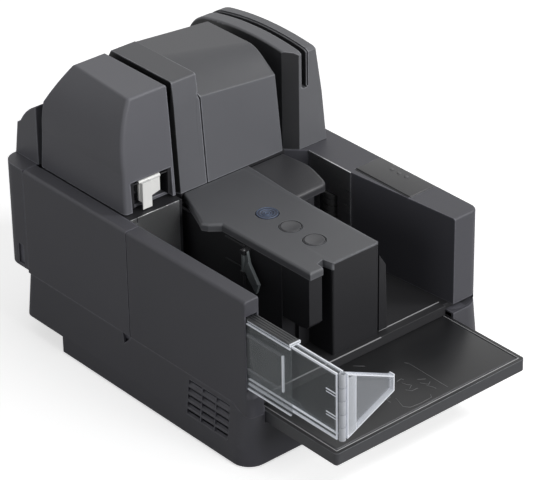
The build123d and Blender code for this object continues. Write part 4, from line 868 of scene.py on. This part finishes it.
def makeFinRim(shape):
    rim = startBlock("rim", shape["rimLow"], shape["rimHigh"])
    pickPoints(rim, lambda point: point.x > shape["rimHigh"][0] - modelling["near"])
    rootHeight = shape["rimHigh"][2] - shape["rimLow"][2]
    bpy.ops.transform.resize(value=(1.0, 1.0, shape["tipHeight"] / rootHeight))
    leaveEdit()
    openThrough(rim, 1, shape["rimWall"])
    roundEdges(rim, shape["rimEdge"])
    pieces = [rim, roundedBlock("rib", *shape["rib"]), roundedBlock("hook", *shape["hook"])]
    finishPiece(joinPieces(pieces, "fin_rim"), "fin", "clear_plastic", "clearRibGlow")
    finishPiece(roundedBlock("fin_root", *shape["root"]), "fin", "clear_plastic", "clearJoint")


makeFinRim(finShape)
print("pocket extension made")


# floor, lamps and background, in metres and watts; the floor and the world show one tone to the camera and
# in reflections, and give less light to the machine; lamps as name: (place, size, power)
studio = {
    "floorSize": 14.0, "floorSeen": (0.93, 0.93, 0.93), "floorBounce": (0.11, 0.11, 0.11),
    "floorRoughness": 0.9, "floorGlow": 0.6,
    "lamps": {
        "key_lamp": ((0.3, -2.5, 0.95), 1.1, 40.0),
        "glint_lamp": ((1.45, -1.3, 1.75), 0.45, 20.0),
        "top_lamp": ((0.1, 0.3, 2.1), 1.7, 5.0),
        "side_lamp": ((-2.2, -0.4, 0.9), 1.2, 8.0),
    },
    "lampTarget": (0.0, 0.0, 0.1),
    "white": (1.0, 1.0, 1.0, 1.0),
    "ambient": 0.17,
}


def areaLamp(name, place, size, power, target):
    lamp = bpy.data.objects.new(name, bpy.data.lights.new(name, "AREA"))
    bpy.context.scene.collection.objects.link(lamp)
    lamp.data.shape = "SQUARE"
    lamp.data.size = size
    lamp.data.energy = power
    lamp.location = place
    lamp.rotation_euler = (Vector(target) - Vector(place)).to_track_quat("-Z", "Y").to_euler()


def seenDirectly(tree):
    path = addNode(tree, "ShaderNodeLightPath")
    seen = mathNode(tree, "MAXIMUM", path.outputs["Is Camera Ray"], path.outputs["Is Glossy Ray"])
    return mathNode(tree, "MAXIMUM", seen, path.outputs["Is Transmission Ray"])


def makeFloor(values):
    bpy.ops.object.select_all(action="DESELECT")
    bpy.ops.mesh.primitive_plane_add(size=values["floorSize"], location=(0.0, 0.0, 0.0))
    floor = bpy.context.object
    floor.name = "studio_floor"
    material, tree, shader = startMaterial("paperFloor")
    tone = mixColour(tree, seenDirectly(tree), values["floorBounce"], values["floorSeen"])
    feed(tree, shader.inputs["Base Color"], tone)
    shader.inputs["Roughness"].default_value = values["floorRoughness"]
    shader.inputs["Specular IOR Level"].default_value = 0.0
    shader.inputs["Emission Color"].default_value = values["white"]
    path = addNode(tree, "ShaderNodeLightPath")
    glow = mathNode(tree, "MULTIPLY", path.outputs["Is Camera Ray"], values["floorGlow"])
    feed(tree, shader.inputs["Emission Strength"], glow)
    floor.data.materials.append(material)


def makeWorld(values):
    world = bpy.data.worlds.new("studioWorld")
    world.use_nodes = True
    tree = world.node_tree
    background = tree.nodes["Background"]
    background.inputs["Color"].default_value = values["white"]
    feed(tree, background.inputs["Strength"], rampNode(tree, seenDirectly(tree), lowest=values["ambient"]))
    bpy.context.scene.world = world


makeFloor(studio)
for name, (place, size, power) in studio["lamps"].items():
    areaLamp(name, place, size, power, studio["lampTarget"])
makeWorld(studio)
bpy.context.scene.view_settings.view_transform = "Standard"
print("studio ready")
